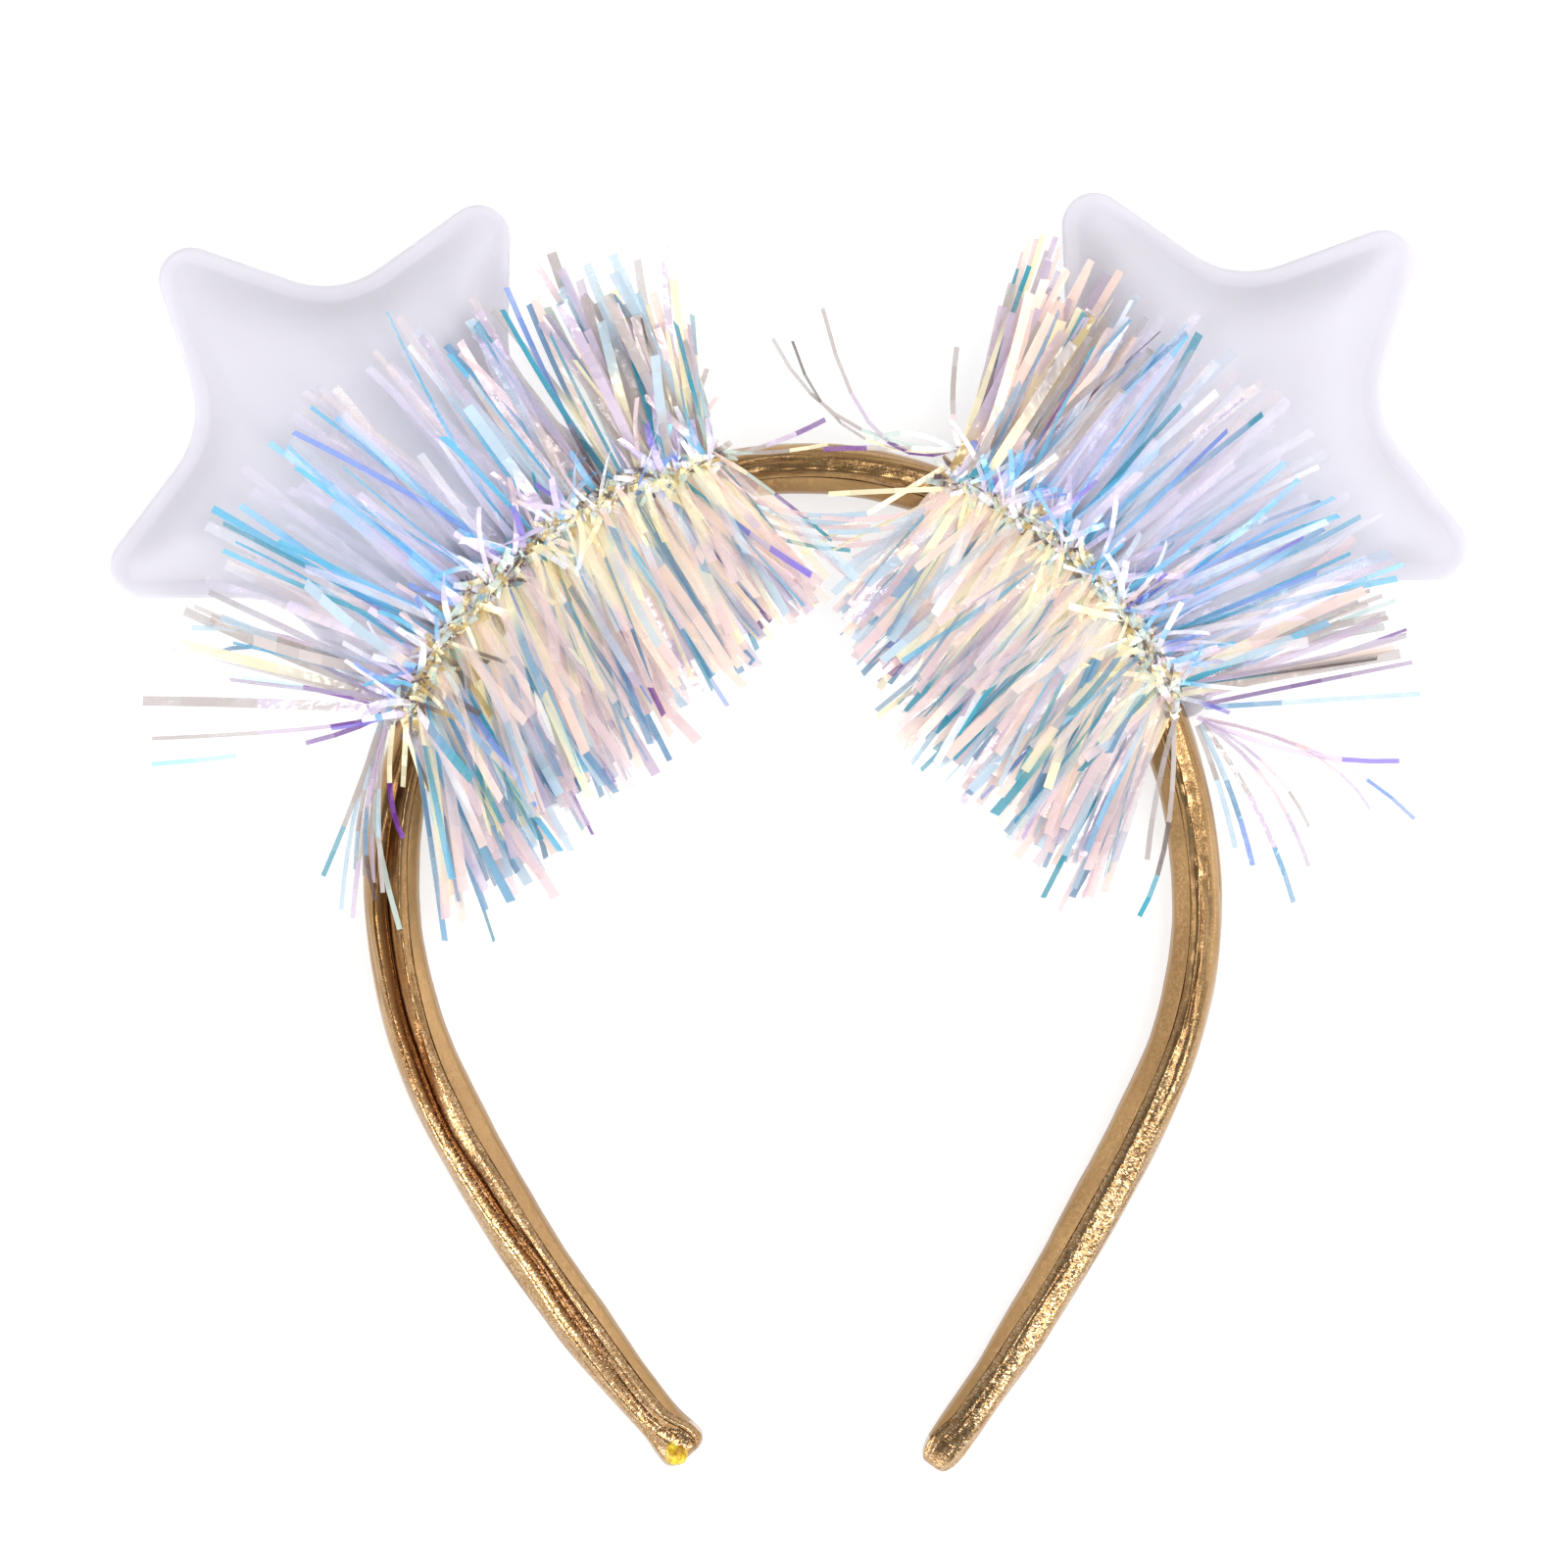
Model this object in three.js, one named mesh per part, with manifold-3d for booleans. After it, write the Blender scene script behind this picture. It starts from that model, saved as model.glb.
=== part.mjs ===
// New year headband lying on its back: a padded gold hoop with two moulded plastic stars
// and two garlands of iridescent tinsel. Millimetres, +X to the wearer's left,
// +Y from the hoop's tips to its crown, +Z out of the front of the headband.
import * as THREE from 'three';
import { mergeVertices } from 'three/addons/utils/BufferGeometryUtils.js';
import Module from 'manifold-3d';

const { degToRad, lerp, smoothstep } = THREE.MathUtils;
const wasm = await Module();
wasm.setup();

// Gap between pieces that touch
const GAP = 0.3;

// Hoop: the crown's middle, and the tangent arcs that run from it down each arm
const CROWN = { x: 2.3, y: 55.9 };
const ARM_ARCS = {
  left: [
    { radius: 63.1, turn: 92.1 },
    { radius: 75.9, turn: 24.9 },
    { radius: 247, turn: 15.3 },
  ],
  right: [
    { radius: 58, turn: 61.5 },
    { radius: 77.5, turn: 27.2 },
    { radius: 64.6, turn: 26 },
    { radius: 330, turn: 11.7 },
  ],
};

// Band sections by distance along the hoop from the crown, left arm negative.
// thick is across the hoop, deep is front to back, fold is the long crease in the padding.
const BAND_SECTIONS = [
  { along: -200.4, thick: 7.2, deep: 8.6, fold: 0 },
  { along: -198.4, thick: 7.4, deep: 8.6, fold: 0.2 },
  { along: -194, thick: 6.7, deep: 8.8, fold: 0.6 },
  { along: -173, thick: 8.5, deep: 10.6, fold: 0.9 },
  { along: -140, thick: 9.5, deep: 11, fold: 1.0 },
  { along: -105, thick: 8.4, deep: 11, fold: 0.8 },
  { along: -80, thick: 7.8, deep: 11, fold: 0.2 },
  { along: 0, thick: 7.6, deep: 11, fold: 0.1 },
  { along: 105, thick: 7.5, deep: 11, fold: 0.1 },
  { along: 145, thick: 8.1, deep: 11, fold: 0.2 },
  { along: 170, thick: 7.3, deep: 10, fold: 0.1 },
  { along: 184, thick: 6.4, deep: 9, fold: 0 },
  { along: 196.8, thick: 5.8, deep: 8, fold: 0 },
];
const LEFT_TIP = BAND_SECTIONS[0].along;
const RIGHT_TIP = BAND_SECTIONS[BAND_SECTIONS.length - 1].along;
const BAND_STATION_STEP = 7.6;
const TIP_ROUNDING = { left: 1.6, right: 4.2 };
const TIP_ROUND_STEPS = 3;
const TIP_SMALLEST = 0.45;
// Near each tip the cover closes over the end of the lining, between these distances from the tip
const TIP_WRAP = { from: 4.4, to: 7.5 };

// Padded cover: its inner corners, the flat that it lies on, and the angles of its dome
const COVER_CORNER = 1.1;
const COVER_BEVEL = 0.33;
const COVER_FLAT = 1.2;
const DOME_ANGLES = [-90, -66, -42, -16, 10, 34, 54, 70, 90];
const FOLD_ANGLE = 70;

// Lining strip on the inside of the hoop
const LINING_THICK = 1.8;
const LINING_INSET = 0.9;
const LINING_CHAMFER = 0.5;
const LINING_STOPS_SHORT = TIP_WRAP.to + 0.5;

// Drop of glue on the left tip: its ball's place before the tip is cut from it
const GLUE = { x: -16.9, y: -95, z: 7.6, radius: 2.1 };
const GLUE_SIDES = 12;
const GLUE_ROWS = 8;

// Stars: tip and notch radii of the sharp star, before its corners are rounded
const STAR_TIPS = 5;
const STAR_TIP_RADIUS = 48.8;
const STAR_NOTCH_RADIUS = 24.5;
const STAR_TIP_ROUNDING = 4.9;
const STAR_NOTCH_ROUNDING = 14.7;
const STAR_TIP_STEPS = 3;
const STAR_NOTCH_STEPS = 2;
const STAR_RIM = 2.6;
const STAR_RIM_THICK = 1.2;
const STAR_DOME = 4.4;
const STAR_WALL = 1.2;
const STAR_MIDDLE_Z = 6;
// Dome rings: size as a share of the ring inside the rim, rise as a share of the dome
const STAR_DOME_RINGS = [
  { size: 1, rise: 0 },
  { size: 0.95, rise: 0.34 },
  { size: 0.86, rise: 0.62 },
  { size: 0.7, rise: 0.84 },
  { size: 0.42, rise: 0.97 },
];
const STAR_HOLLOW_RINGS = [
  { size: 1, rise: 0 },
  { size: 0.84, rise: 0.62 },
  { size: 0.45, rise: 0.95 },
];
const STARS = [
  { side: 'left', x: -65, y: 57.7, tip_angle: 134.4 },
  { side: 'right', x: 64.9, y: 59.9, tip_angle: 46.6 },
];

// Tinsel: where each garland's core starts and ends along the hoop, its place and size
const GARLANDS = [
  { side: 'left', crown_end: -12.5, foot_end: -74 },
  { side: 'right', crown_end: 22, foot_end: 69 },
];
const CORE_RADIUS = 1.5;
const CORE_SIDES = 8;
const CORE_STEPS = 14;
const CORE_OUT = 2.6;
const CORE_Z = 12.1;
const LOCK_ROOT_WIDTH = 1;
const LOCK_END_WIDTH = 3.6;
const LOCK_THICK = 0.7;
// Fans of locks. facing is outward (1) or into the hoop (-1). lift is the rise from the floor's
// plane, alternating between two layers. The splay leans locks to the crown, or to the foot if
// negative, at the garland's crown end, middle and foot end.
const FANS = [
  { locks: 25, facing: 1, lift: [8, 15], length: 37, splay: [2, 0, -12] },
  { locks: 12, facing: 1, lift: [32, 55], length: 30, splay: [8, 0, -14] },
  { locks: 12, facing: -1, lift: [34, 58], length: 29, splay: [4, 0, -30] },
  { locks: 25, facing: -1, lift: [8, 16], length: 36, splay: [5, -4, -54] },
  { locks: 5, facing: 1, lift: [10, 20], length: 33, splay: [12, 0, -46] },
];
const LENGTH_JITTER = 0.12;
const SPLAY_JITTER = 5;
const LIFT_JITTER = 2.5;
const SEEDS_PER_FAN = 100;

const COLOURS = {
  gold: { color: 0xb88a4c, roughness: 0.32, metalness: 0.85 },
  lining: { color: 0xa77f52, roughness: 0.6, metalness: 0.35 },
  glue: { color: 0xe6c21c, roughness: 0.25, metalness: 0 },
  milky: { color: 0xe9e6f4, roughness: 0.4, metalness: 0 },
  film: { color: 0xb9cfe8, roughness: 0.15, metalness: 0.4 },
};

// Closed mesh through rings of points, its two ends closed by fans around the given end points
// or, on a flat end, around the ring's first point
function closedLoft(rings, startPoint, endPoint) {
  const sides = rings[0].length;
  const points = rings.flat();
  const index = [];
  for (let r = 0; r + 1 < rings.length; r += 1) {
    for (let k = 0; k < sides; k += 1) {
      const a = r * sides + k;
      const b = r * sides + ((k + 1) % sides);
      index.push(a, b, a + sides, b, b + sides, a + sides);
    }
  }
  const fan = (first, apex, flip) => {
    const middle = apex ? points.push(apex) - 1 : first;
    for (let k = 0; k < sides; k += 1) {
      const a = first + k;
      const b = first + ((k + 1) % sides);
      if (a !== middle && b !== middle) {
        index.push(middle, ...(flip ? [b, a] : [a, b]));
      }
    }
  };
  fan(0, startPoint, true);
  fan((rings.length - 1) * sides, endPoint, false);
  const geometry = new THREE.BufferGeometry().setFromPoints(points);
  geometry.setIndex(index);
  return facingOut(geometry);
}

// The same mesh with its faces turned outwards
function facingOut(geometry) {
  const p = geometry.attributes.position;
  const index = geometry.index.array;
  const [a, b, c] = [new THREE.Vector3(), new THREE.Vector3(), new THREE.Vector3()];
  let volume = 0;
  for (let i = 0; i < index.length; i += 3) {
    a.fromBufferAttribute(p, index[i]);
    b.fromBufferAttribute(p, index[i + 1]);
    c.fromBufferAttribute(p, index[i + 2]);
    volume += a.dot(b.cross(c));
  }
  if (volume < 0) {
    index.reverse();
  }
  return geometry;
}

function toSolid(geometry) {
  const bare = geometry.clone();
  bare.deleteAttribute('normal');
  bare.deleteAttribute('uv');
  const merged = mergeVertices(bare);
  return new wasm.Manifold(new wasm.Mesh({
    numProp: 3,
    vertProperties: new Float32Array(merged.attributes.position.array),
    triVerts: new Uint32Array(merged.index.array),
  }));
}

function fromSolid(solid) {
  const mesh = solid.getMesh();
  const geometry = new THREE.BufferGeometry();
  geometry.setAttribute('position', new THREE.BufferAttribute(mesh.vertProperties, mesh.numProp));
  geometry.setIndex(new THREE.BufferAttribute(mesh.triVerts, 1));
  return geometry;
}

// Repeatable value from -1 to 1, different for each whole number
const SCATTER = { frequency: 12.9898, gain: 43758.5453 };
function jitter(seed) {
  const wave = Math.sin(seed * SCATTER.frequency) * SCATTER.gain;
  return 2 * (wave - Math.floor(wave)) - 1;
}

// Point on the hoop's centre line, with the directions away from the hoop and towards the crown
function hoopAt(along) {
  const side = along < 0 ? -1 : 1;
  const arcs = along < 0 ? ARM_ARCS.left : ARM_ARCS.right;
  let x = 0;
  let y = 0;
  let heading = 0;
  let remaining = Math.abs(along);
  arcs.forEach((arc, i) => {
    const isLast = i === arcs.length - 1;
    const step = isLast ? remaining : Math.min(remaining, arc.radius * degToRad(arc.turn));
    const next = heading + step / arc.radius;
    x += arc.radius * (Math.sin(next) - Math.sin(heading));
    y += arc.radius * (Math.cos(next) - Math.cos(heading));
    heading = next;
    remaining -= step;
  });
  return {
    point: new THREE.Vector3(CROWN.x + side * x, CROWN.y + y, 0),
    outward: new THREE.Vector3(side * Math.sin(heading), Math.cos(heading), 0),
    crownward: new THREE.Vector3(-side * Math.cos(heading), Math.sin(heading), 0),
  };
}

function sectionAt(along) {
  const next = Math.max(1, BAND_SECTIONS.findIndex((row) => row.along >= along));
  const before = BAND_SECTIONS[next - 1];
  const after = BAND_SECTIONS[next];
  const share = smoothstep(along, before.along, after.along);
  return {
    thick: lerp(before.thick, after.thick, share),
    deep: lerp(before.deep, after.deep, share),
    fold: lerp(before.fold, after.fold, share),
  };
}

// A section's (out, up) points placed in space at a distance along the hoop
function placeSection(along, outUp) {
  const { point, outward } = hoopAt(along);
  return outUp.map(([out, up]) => point.clone().addScaledVector(outward, out).setZ(up));
}

// Room that the lining takes behind the cover, none at the tips
function liningRoom(along) {
  const toTip = Math.min(along - LEFT_TIP, RIGHT_TIP - along);
  return (LINING_THICK + GAP) * smoothstep(toTip, TIP_WRAP.from, TIP_WRAP.to);
}

// D-shaped section of the cover, flat against the lining and domed outwards, grown all round
function coverSection(along, grow, size) {
  const { thick, deep, fold } = sectionAt(along);
  const back = -thick / 2 + liningRoom(along);
  const inner = back - grow;
  const low = -grow;
  const high = deep + grow;
  const half = (high - low) / 2;
  const domeStart = back + COVER_CORNER + COVER_FLAT;
  const domeRise = thick / 2 + grow - domeStart;
  const dome = DOME_ANGLES.map((degrees) => {
    const angle = degToRad(degrees);
    const sink = degrees === FOLD_ANGLE ? fold : 0;
    return [
      domeStart + (domeRise - sink) * Math.cos(angle),
      low + half + (half - sink) * Math.sin(angle),
    ];
  });
  const outUp = [
    [inner, low + COVER_CORNER],
    [inner + COVER_BEVEL, low + COVER_BEVEL],
    [inner + COVER_CORNER, low],
    ...dome,
    [inner + COVER_CORNER, high],
    [inner + COVER_BEVEL, high - COVER_BEVEL],
    [inner, high - COVER_CORNER],
  ];
  const middle = (inner + thick / 2) / 2;
  return outUp.map(([out, up]) => [
    lerp(middle, out, size),
    lerp(low + half, up, size),
  ]);
}

// Flat strip with broken edges, a little narrower than the padding it backs, grown all round
function liningSection(along, grow) {
  const { thick, deep } = sectionAt(along);
  const inner = -thick / 2 - grow;
  const outer = -thick / 2 + LINING_THICK + grow;
  const low = LINING_INSET - grow;
  const high = deep - LINING_INSET + grow;
  const c = LINING_CHAMFER;
  return [
    [inner, low + c], [inner + c, low], [outer - c, low], [outer, low + c],
    [outer, high - c], [outer - c, high], [inner + c, high], [inner, high - c],
  ];
}

// Even stations from one distance along the hoop to another
function stations(from, to) {
  const count = Math.round((to - from) / BAND_STATION_STEP);
  return Array.from({ length: count + 1 }, (_, i) => lerp(from, to, i / count));
}

// Sections that shrink to a rounded end, from the full size outwards
function tipRings(tip, rounding, inwardSign, grow) {
  return Array.from({ length: TIP_ROUND_STEPS }, (_, i) => {
    const angle = (Math.PI / 2) * ((i + 1) / TIP_ROUND_STEPS);
    const along = tip + inwardSign * rounding * (1 - Math.sin(angle));
    const size = lerp(TIP_SMALLEST, 1, Math.cos(angle));
    return placeSection(along, coverSection(along, grow, size));
  });
}

function coverGeometry(grow) {
  const body = [
    LEFT_TIP + TIP_ROUNDING.left,
    LEFT_TIP + TIP_WRAP.from,
    ...stations(LEFT_TIP + TIP_WRAP.to, RIGHT_TIP - TIP_WRAP.to),
    RIGHT_TIP - TIP_WRAP.from,
  ].map((along) => placeSection(along, coverSection(along, grow, 1)));
  const leftEnd = tipRings(LEFT_TIP, TIP_ROUNDING.left, 1, grow).reverse();
  const rightEnd = tipRings(RIGHT_TIP, TIP_ROUNDING.right, -1, grow);
  return closedLoft([...leftEnd, ...body, ...rightEnd]);
}

function liningGeometry(grow) {
  const from = LEFT_TIP + LINING_STOPS_SHORT;
  const to = RIGHT_TIP - LINING_STOPS_SHORT;
  const rings = stations(from, to).map((along) => placeSection(along, liningSection(along, grow)));
  return closedLoft(rings);
}

// Drop of glue, what is left of a ball outside the band's tip
function glueDrop(bandRoom) {
  const ball = new THREE.SphereGeometry(GLUE.radius, GLUE_SIDES, GLUE_ROWS);
  ball.translate(GLUE.x, GLUE.y, GLUE.z);
  return fromSolid(toSolid(ball).subtract(bandRoom));
}

// Outline of the rounded star, moved inwards by an inset
function starOutline(inset) {
  const halfTurn = Math.PI / STAR_TIPS;
  const notchX = STAR_NOTCH_RADIUS * Math.cos(halfTurn);
  const notchY = STAR_NOTCH_RADIUS * Math.sin(halfTurn);
  const tipHalf = Math.atan2(notchY, STAR_TIP_RADIUS - notchX);
  const notchHalf = halfTurn + tipHalf;
  const tipMiddle = STAR_TIP_RADIUS - STAR_TIP_ROUNDING / Math.sin(tipHalf);
  const notchMiddle = STAR_NOTCH_RADIUS + STAR_NOTCH_ROUNDING / Math.sin(notchHalf);
  const outline = [];
  const arc = (axis, middle, radius, spread, steps) => {
    for (let i = 0; i <= steps; i += 1) {
      const angle = axis + lerp(-spread, spread, i / steps);
      outline.push(new THREE.Vector2(
        middle * Math.cos(axis) + radius * Math.cos(angle),
        middle * Math.sin(axis) + radius * Math.sin(angle),
      ));
    }
  };
  for (let tip = 0; tip < STAR_TIPS; tip += 1) {
    const axis = 2 * halfTurn * tip;
    const tipRadius = STAR_TIP_ROUNDING - inset;
    const notchRadius = STAR_NOTCH_ROUNDING + inset;
    arc(axis, tipMiddle, tipRadius, Math.PI / 2 - tipHalf, STAR_TIP_STEPS);
    arc(axis + halfTurn, notchMiddle, -notchRadius, notchHalf - Math.PI / 2, STAR_NOTCH_STEPS);
  }
  return outline;
}

// Half shell: rim and dome on one side, hollow on the other, its rim's flat face at z = 0
function starShell() {
  const flat = (outline, size, z) => outline.map((p) => new THREE.Vector3(p.x * size, p.y * size, z));
  const edge = starOutline(0);
  const domeFoot = starOutline(STAR_RIM);
  const hollowFoot = starOutline(STAR_RIM + STAR_WALL);
  const domeRings = STAR_DOME_RINGS
    .map((row) => flat(domeFoot, row.size, STAR_RIM_THICK + STAR_DOME * row.rise));
  const hollowTop = STAR_RIM_THICK + STAR_DOME - STAR_WALL;
  const hollowRings = STAR_HOLLOW_RINGS.map((row) => flat(hollowFoot, row.size, hollowTop * row.rise));
  const rings = [
    ...domeRings.reverse(),
    flat(edge, 1, STAR_RIM_THICK),
    flat(edge, 1, 0),
    ...hollowRings,
  ];
  const apex = new THREE.Vector3(0, 0, STAR_RIM_THICK + STAR_DOME);
  const hollowApex = new THREE.Vector3(0, 0, hollowTop);
  return closedLoft(rings, apex, hollowApex);
}

// A half shell turned to its star's place, its legs cut to sit on the band
function placedShell(star, facing, bandRoom) {
  const shell = starShell();
  if (facing < 0) {
    shell.rotateX(Math.PI);
  }
  shell.rotateZ(degToRad(star.tip_angle));
  shell.translate(star.x, star.y, STAR_MIDDLE_Z + facing * GAP / 2);
  return fromSolid(toSolid(shell).subtract(bandRoom));
}

// Core of a garland, along the front outer edge of the band
function corePath(garland) {
  const points = Array.from({ length: CORE_STEPS + 1 }, (_, i) => {
    const { point, outward } = hoopAt(lerp(garland.crown_end, garland.foot_end, i / CORE_STEPS));
    return point.addScaledVector(outward, CORE_OUT).setZ(CORE_Z);
  });
  return new THREE.CatmullRomCurve3(points);
}

function coreGeometry(garland) {
  const section = new THREE.Shape();
  for (let k = 0; k < CORE_SIDES; k += 1) {
    const angle = (2 * Math.PI * (k + 0.5)) / CORE_SIDES;
    const [x, y] = [CORE_RADIUS * Math.cos(angle), CORE_RADIUS * Math.sin(angle)];
    if (k === 0) {
      section.moveTo(x, y);
    } else {
      section.lineTo(x, y);
    }
  }
  return new THREE.ExtrudeGeometry(section, { steps: CORE_STEPS, extrudePath: corePath(garland) });
}

// Value of a three-column row between a garland's crown end (0), middle and foot end (1)
function between([atCrown, atMiddle, atFoot], share) {
  return share < 0.5 ? lerp(atCrown, atMiddle, 2 * share) : lerp(atMiddle, atFoot, 2 * share - 1);
}

// One lock of strips: a flat blade that widens from the core to its cut end
function lockGeometry(root, direction, length) {
  const up = new THREE.Vector3(0, 0, 1);
  const across = new THREE.Vector3().crossVectors(up, direction).normalize();
  const over = new THREE.Vector3().crossVectors(direction, across);
  const ring = (distance, width) => [[-1, -1], [1, -1], [1, 1], [-1, 1]].map(([w, t]) => root.clone()
    .addScaledVector(direction, distance)
    .addScaledVector(across, (w * width) / 2)
    .addScaledVector(over, (t * LOCK_THICK) / 2));
  return closedLoft([ring(0, LOCK_ROOT_WIDTH), ring(length, LOCK_END_WIDTH)]);
}

function garlandGeometry(garland) {
  let solid = toSolid(coreGeometry(garland));
  FANS.forEach((fan, f) => {
    for (let i = 0; i < fan.locks; i += 1) {
      const seed = 3 * (SEEDS_PER_FAN * (f + 1) + i);
      const share = (i + 0.5) / fan.locks;
      const { point, outward, crownward } = hoopAt(lerp(garland.crown_end, garland.foot_end, share));
      const root = point.addScaledVector(outward, CORE_OUT).setZ(CORE_Z);
      const splay = degToRad(between(fan.splay, share) + SPLAY_JITTER * jitter(seed));
      const lift = degToRad(fan.lift[i % 2] + LIFT_JITTER * jitter(seed + 1));
      const length = fan.length * (1 + LENGTH_JITTER * jitter(seed + 2));
      const direction = new THREE.Vector3()
        .addScaledVector(outward, fan.facing * Math.cos(splay))
        .addScaledVector(crownward, Math.sin(splay))
        .multiplyScalar(Math.cos(lift))
        .setZ(Math.sin(lift));
      solid = solid.add(toSolid(lockGeometry(root, direction, length)));
    }
  });
  return fromSolid(solid);
}

function addPiece(group, name, geometry, colour) {
  const mesh = new THREE.Mesh(geometry, new THREE.MeshStandardMaterial(colour));
  mesh.name = name;
  group.add(mesh);
  return mesh;
}

const headband = new THREE.Group();
addPiece(headband, 'band_cover', coverGeometry(0), COLOURS.gold);
addPiece(headband, 'band_lining', liningGeometry(0), COLOURS.lining);

// Space of the whole band with its gap, cut from what sits on it
const bandRoom = toSolid(coverGeometry(GAP)).add(toSolid(liningGeometry(GAP)));
addPiece(headband, 'glue_drop', glueDrop(bandRoom), COLOURS.glue);
for (const star of STARS) {
  addPiece(headband, `star_${star.side}_front`, placedShell(star, 1, bandRoom), COLOURS.milky);
  addPiece(headband, `star_${star.side}_back`, placedShell(star, -1, bandRoom), COLOURS.milky);
}
for (const garland of GARLANDS) {
  addPiece(headband, `tinsel_${garland.side}`, garlandGeometry(garland), COLOURS.film);
}

// The origin is the middle of the headband's outline, on the surface that it lies on
const outline = new THREE.Box3().setFromObject(headband);
const middle = outline.getCenter(new THREE.Vector3());
headband.position.set(-middle.x, -middle.y, -outline.min.z);

export default headband;
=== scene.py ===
"""New year headband, lying on its back: gold lamé hoop, milky plastic stars, iridescent tinsel."""
import math

import bpy
import numpy as np
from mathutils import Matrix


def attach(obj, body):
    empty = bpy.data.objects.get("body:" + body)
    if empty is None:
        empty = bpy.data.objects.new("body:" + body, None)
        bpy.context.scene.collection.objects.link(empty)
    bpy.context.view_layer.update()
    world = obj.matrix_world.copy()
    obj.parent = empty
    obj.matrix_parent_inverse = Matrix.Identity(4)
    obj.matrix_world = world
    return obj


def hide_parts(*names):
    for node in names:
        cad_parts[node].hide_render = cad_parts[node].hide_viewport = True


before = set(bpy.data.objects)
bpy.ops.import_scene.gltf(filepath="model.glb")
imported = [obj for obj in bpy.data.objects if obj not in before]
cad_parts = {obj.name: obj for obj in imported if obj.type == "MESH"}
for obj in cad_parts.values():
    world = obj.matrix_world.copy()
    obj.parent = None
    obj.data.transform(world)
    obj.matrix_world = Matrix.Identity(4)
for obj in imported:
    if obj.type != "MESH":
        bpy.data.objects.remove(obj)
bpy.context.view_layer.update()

# Lengths are in millimetres until a mesh is made
MM = 0.001
# The hoop's plan is drawn about the middle of its picture, the frame about the solids' outline
PLAN_SHIFT = (-0.098, -0.139, 0.0)

# Hoop: the crown's middle, and the tangent arcs (radius, turn in degrees) down each arm
CROWN = (2.3, 55.9)
ARM_ARCS = {
    "left": ((63.1, 92.1), (75.9, 24.9), (247, 15.3)),
    "right": ((58, 61.5), (77.5, 27.2), (64.6, 26), (330, 11.7)),
}
# Band sections: distance along the hoop, thickness across it, depth, depth of the long fold
BAND_SECTIONS = np.array([
    (-200.4, 7.2, 8.6, 0.0),
    (-198.4, 7.4, 8.6, 0.2),
    (-194, 6.7, 8.8, 0.6),
    (-173, 8.5, 10.6, 0.9),
    (-140, 9.5, 11, 1.0),
    (-105, 8.4, 11, 0.8),
    (-80, 7.8, 11, 0.2),
    (0, 7.6, 11, 0.1),
    (105, 7.5, 11, 0.1),
    (145, 8.1, 11, 0.2),
    (170, 7.3, 10, 0.1),
    (184, 6.4, 9, 0.0),
    (196.8, 5.8, 8, 0.0),
])
LEFT_TIP = BAND_SECTIONS[0, 0]
RIGHT_TIP = BAND_SECTIONS[-1, 0]
TIP_ROUNDING = {"left": 1.6, "right": 4.2}
TIP_SMALLEST = 0.45
# The cover closes over the lining's end between these distances from a tip
TIP_WRAP = (3.0, 9.0)
COVER_SHOULDER = 1.6
# The cover slopes down to the lining in front by this much, and its dome is flatter on top than an ellipse
COVER_SLOPE = 0.9
COVER_DOME = 0.74
COVER_STATIONS = 700
COVER_SIDES = 120
FOLD_ANGLE = 77
# Lining: distance along the hoop, thickness across it
LINING_SECTIONS = np.array([
    (-200.4, 1.2), (-173, 1.7), (-150, 2.3), (-140, 2.7), (-130, 2.5), (-118, 1.9), (-105, 1.5), (-60, 1.7),
    (0, 2.2), (105, 2.4), (140, 2.8), (165, 2.2), (185, 1.3), (196.8, 0.9),
])
LINING_INSET = {"front": COVER_SLOPE - 0.08, "back": 0.6}
LINING_SLOPE = 0.7
SEAM = 0.02
# How round corners are, from 0 (sharp) to 1: the cover's at the lining, the lining's at the cover and inside
COVER_CORNER = 0.02
LINING_CORNERS = (0.03, 0.34)
# The cloth is stretched smooth over the crown and glints more down the arms, between these distances
GLINT_FROM = (108, 145)
GLINT_LEAST = 0.05
GLINT_MOST = {"left": 0.2, "right": 0.23}
LINING_STATIONS = 420
LINING_SIDES = 48
GAP = 0.3
# Steps that round off a tip, and the mesh of the band's room
TIP_STEPS = 9
ROOM_STATIONS = 160
ROOM_SIDES = 32
# Waves of the soft shapes: length along the hoop, turns round the section, height
WAVES = {
    "drift": ((95, 0, 5), (41, 0, 3), (17, 0, 1.2)),
    "wander": ((70, 0, 7), (26, 0, 3)),
    "presence": ((63, 0, 1), (29, 0, 0.7)),
    "slack": ((60, 2, 0.06), (33, 3, 0.05), (21, 5, 0.03), (13, 7, 0.02)),
    "puckers": ((5.3, 1, 0.03), (3.7, 2, 0.025), (2.9, 0, 0.02)),
    "lining": ((47, 0, 0.06), (19, 1, 0.05), (7, 0, 0.02)),
    "glue": ((1.9, 2, 0.09), (1.3, 3, 0.06), (0.8, 5, 0.03)),
}

# Stars: the sharp star's radii, its corner roundings, and its half shells
STAR_TIPS = 5
STAR_TIP_RADIUS = 48.8
STAR_NOTCH_RADIUS = 24.5
STAR_TIP_ROUNDING = 4.9
STAR_NOTCH_ROUNDING = 14.7
STAR_RIM = 2.6
STAR_RIM_THICK = 1.2
STAR_DOME = 4.4
STAR_WALL = 1.2
STAR_MIDDLE_Z = 6.0
STAR_ARC_STEPS = 13
STAR_EDGE_STEPS = 7
STARS = {
    "left": {"place": (-65, 57.7), "tip_angle": 134.4},
    "right": {"place": (64.9, 59.9), "tip_angle": 46.6},
}

# Drop of glue on the left tip
GLUE_PLACE = (-17.1, -94.7, 7.8)
GLUE_RADIUS = 1.9
GLUE_ROWS = 22
GLUE_SIDES = 36

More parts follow.
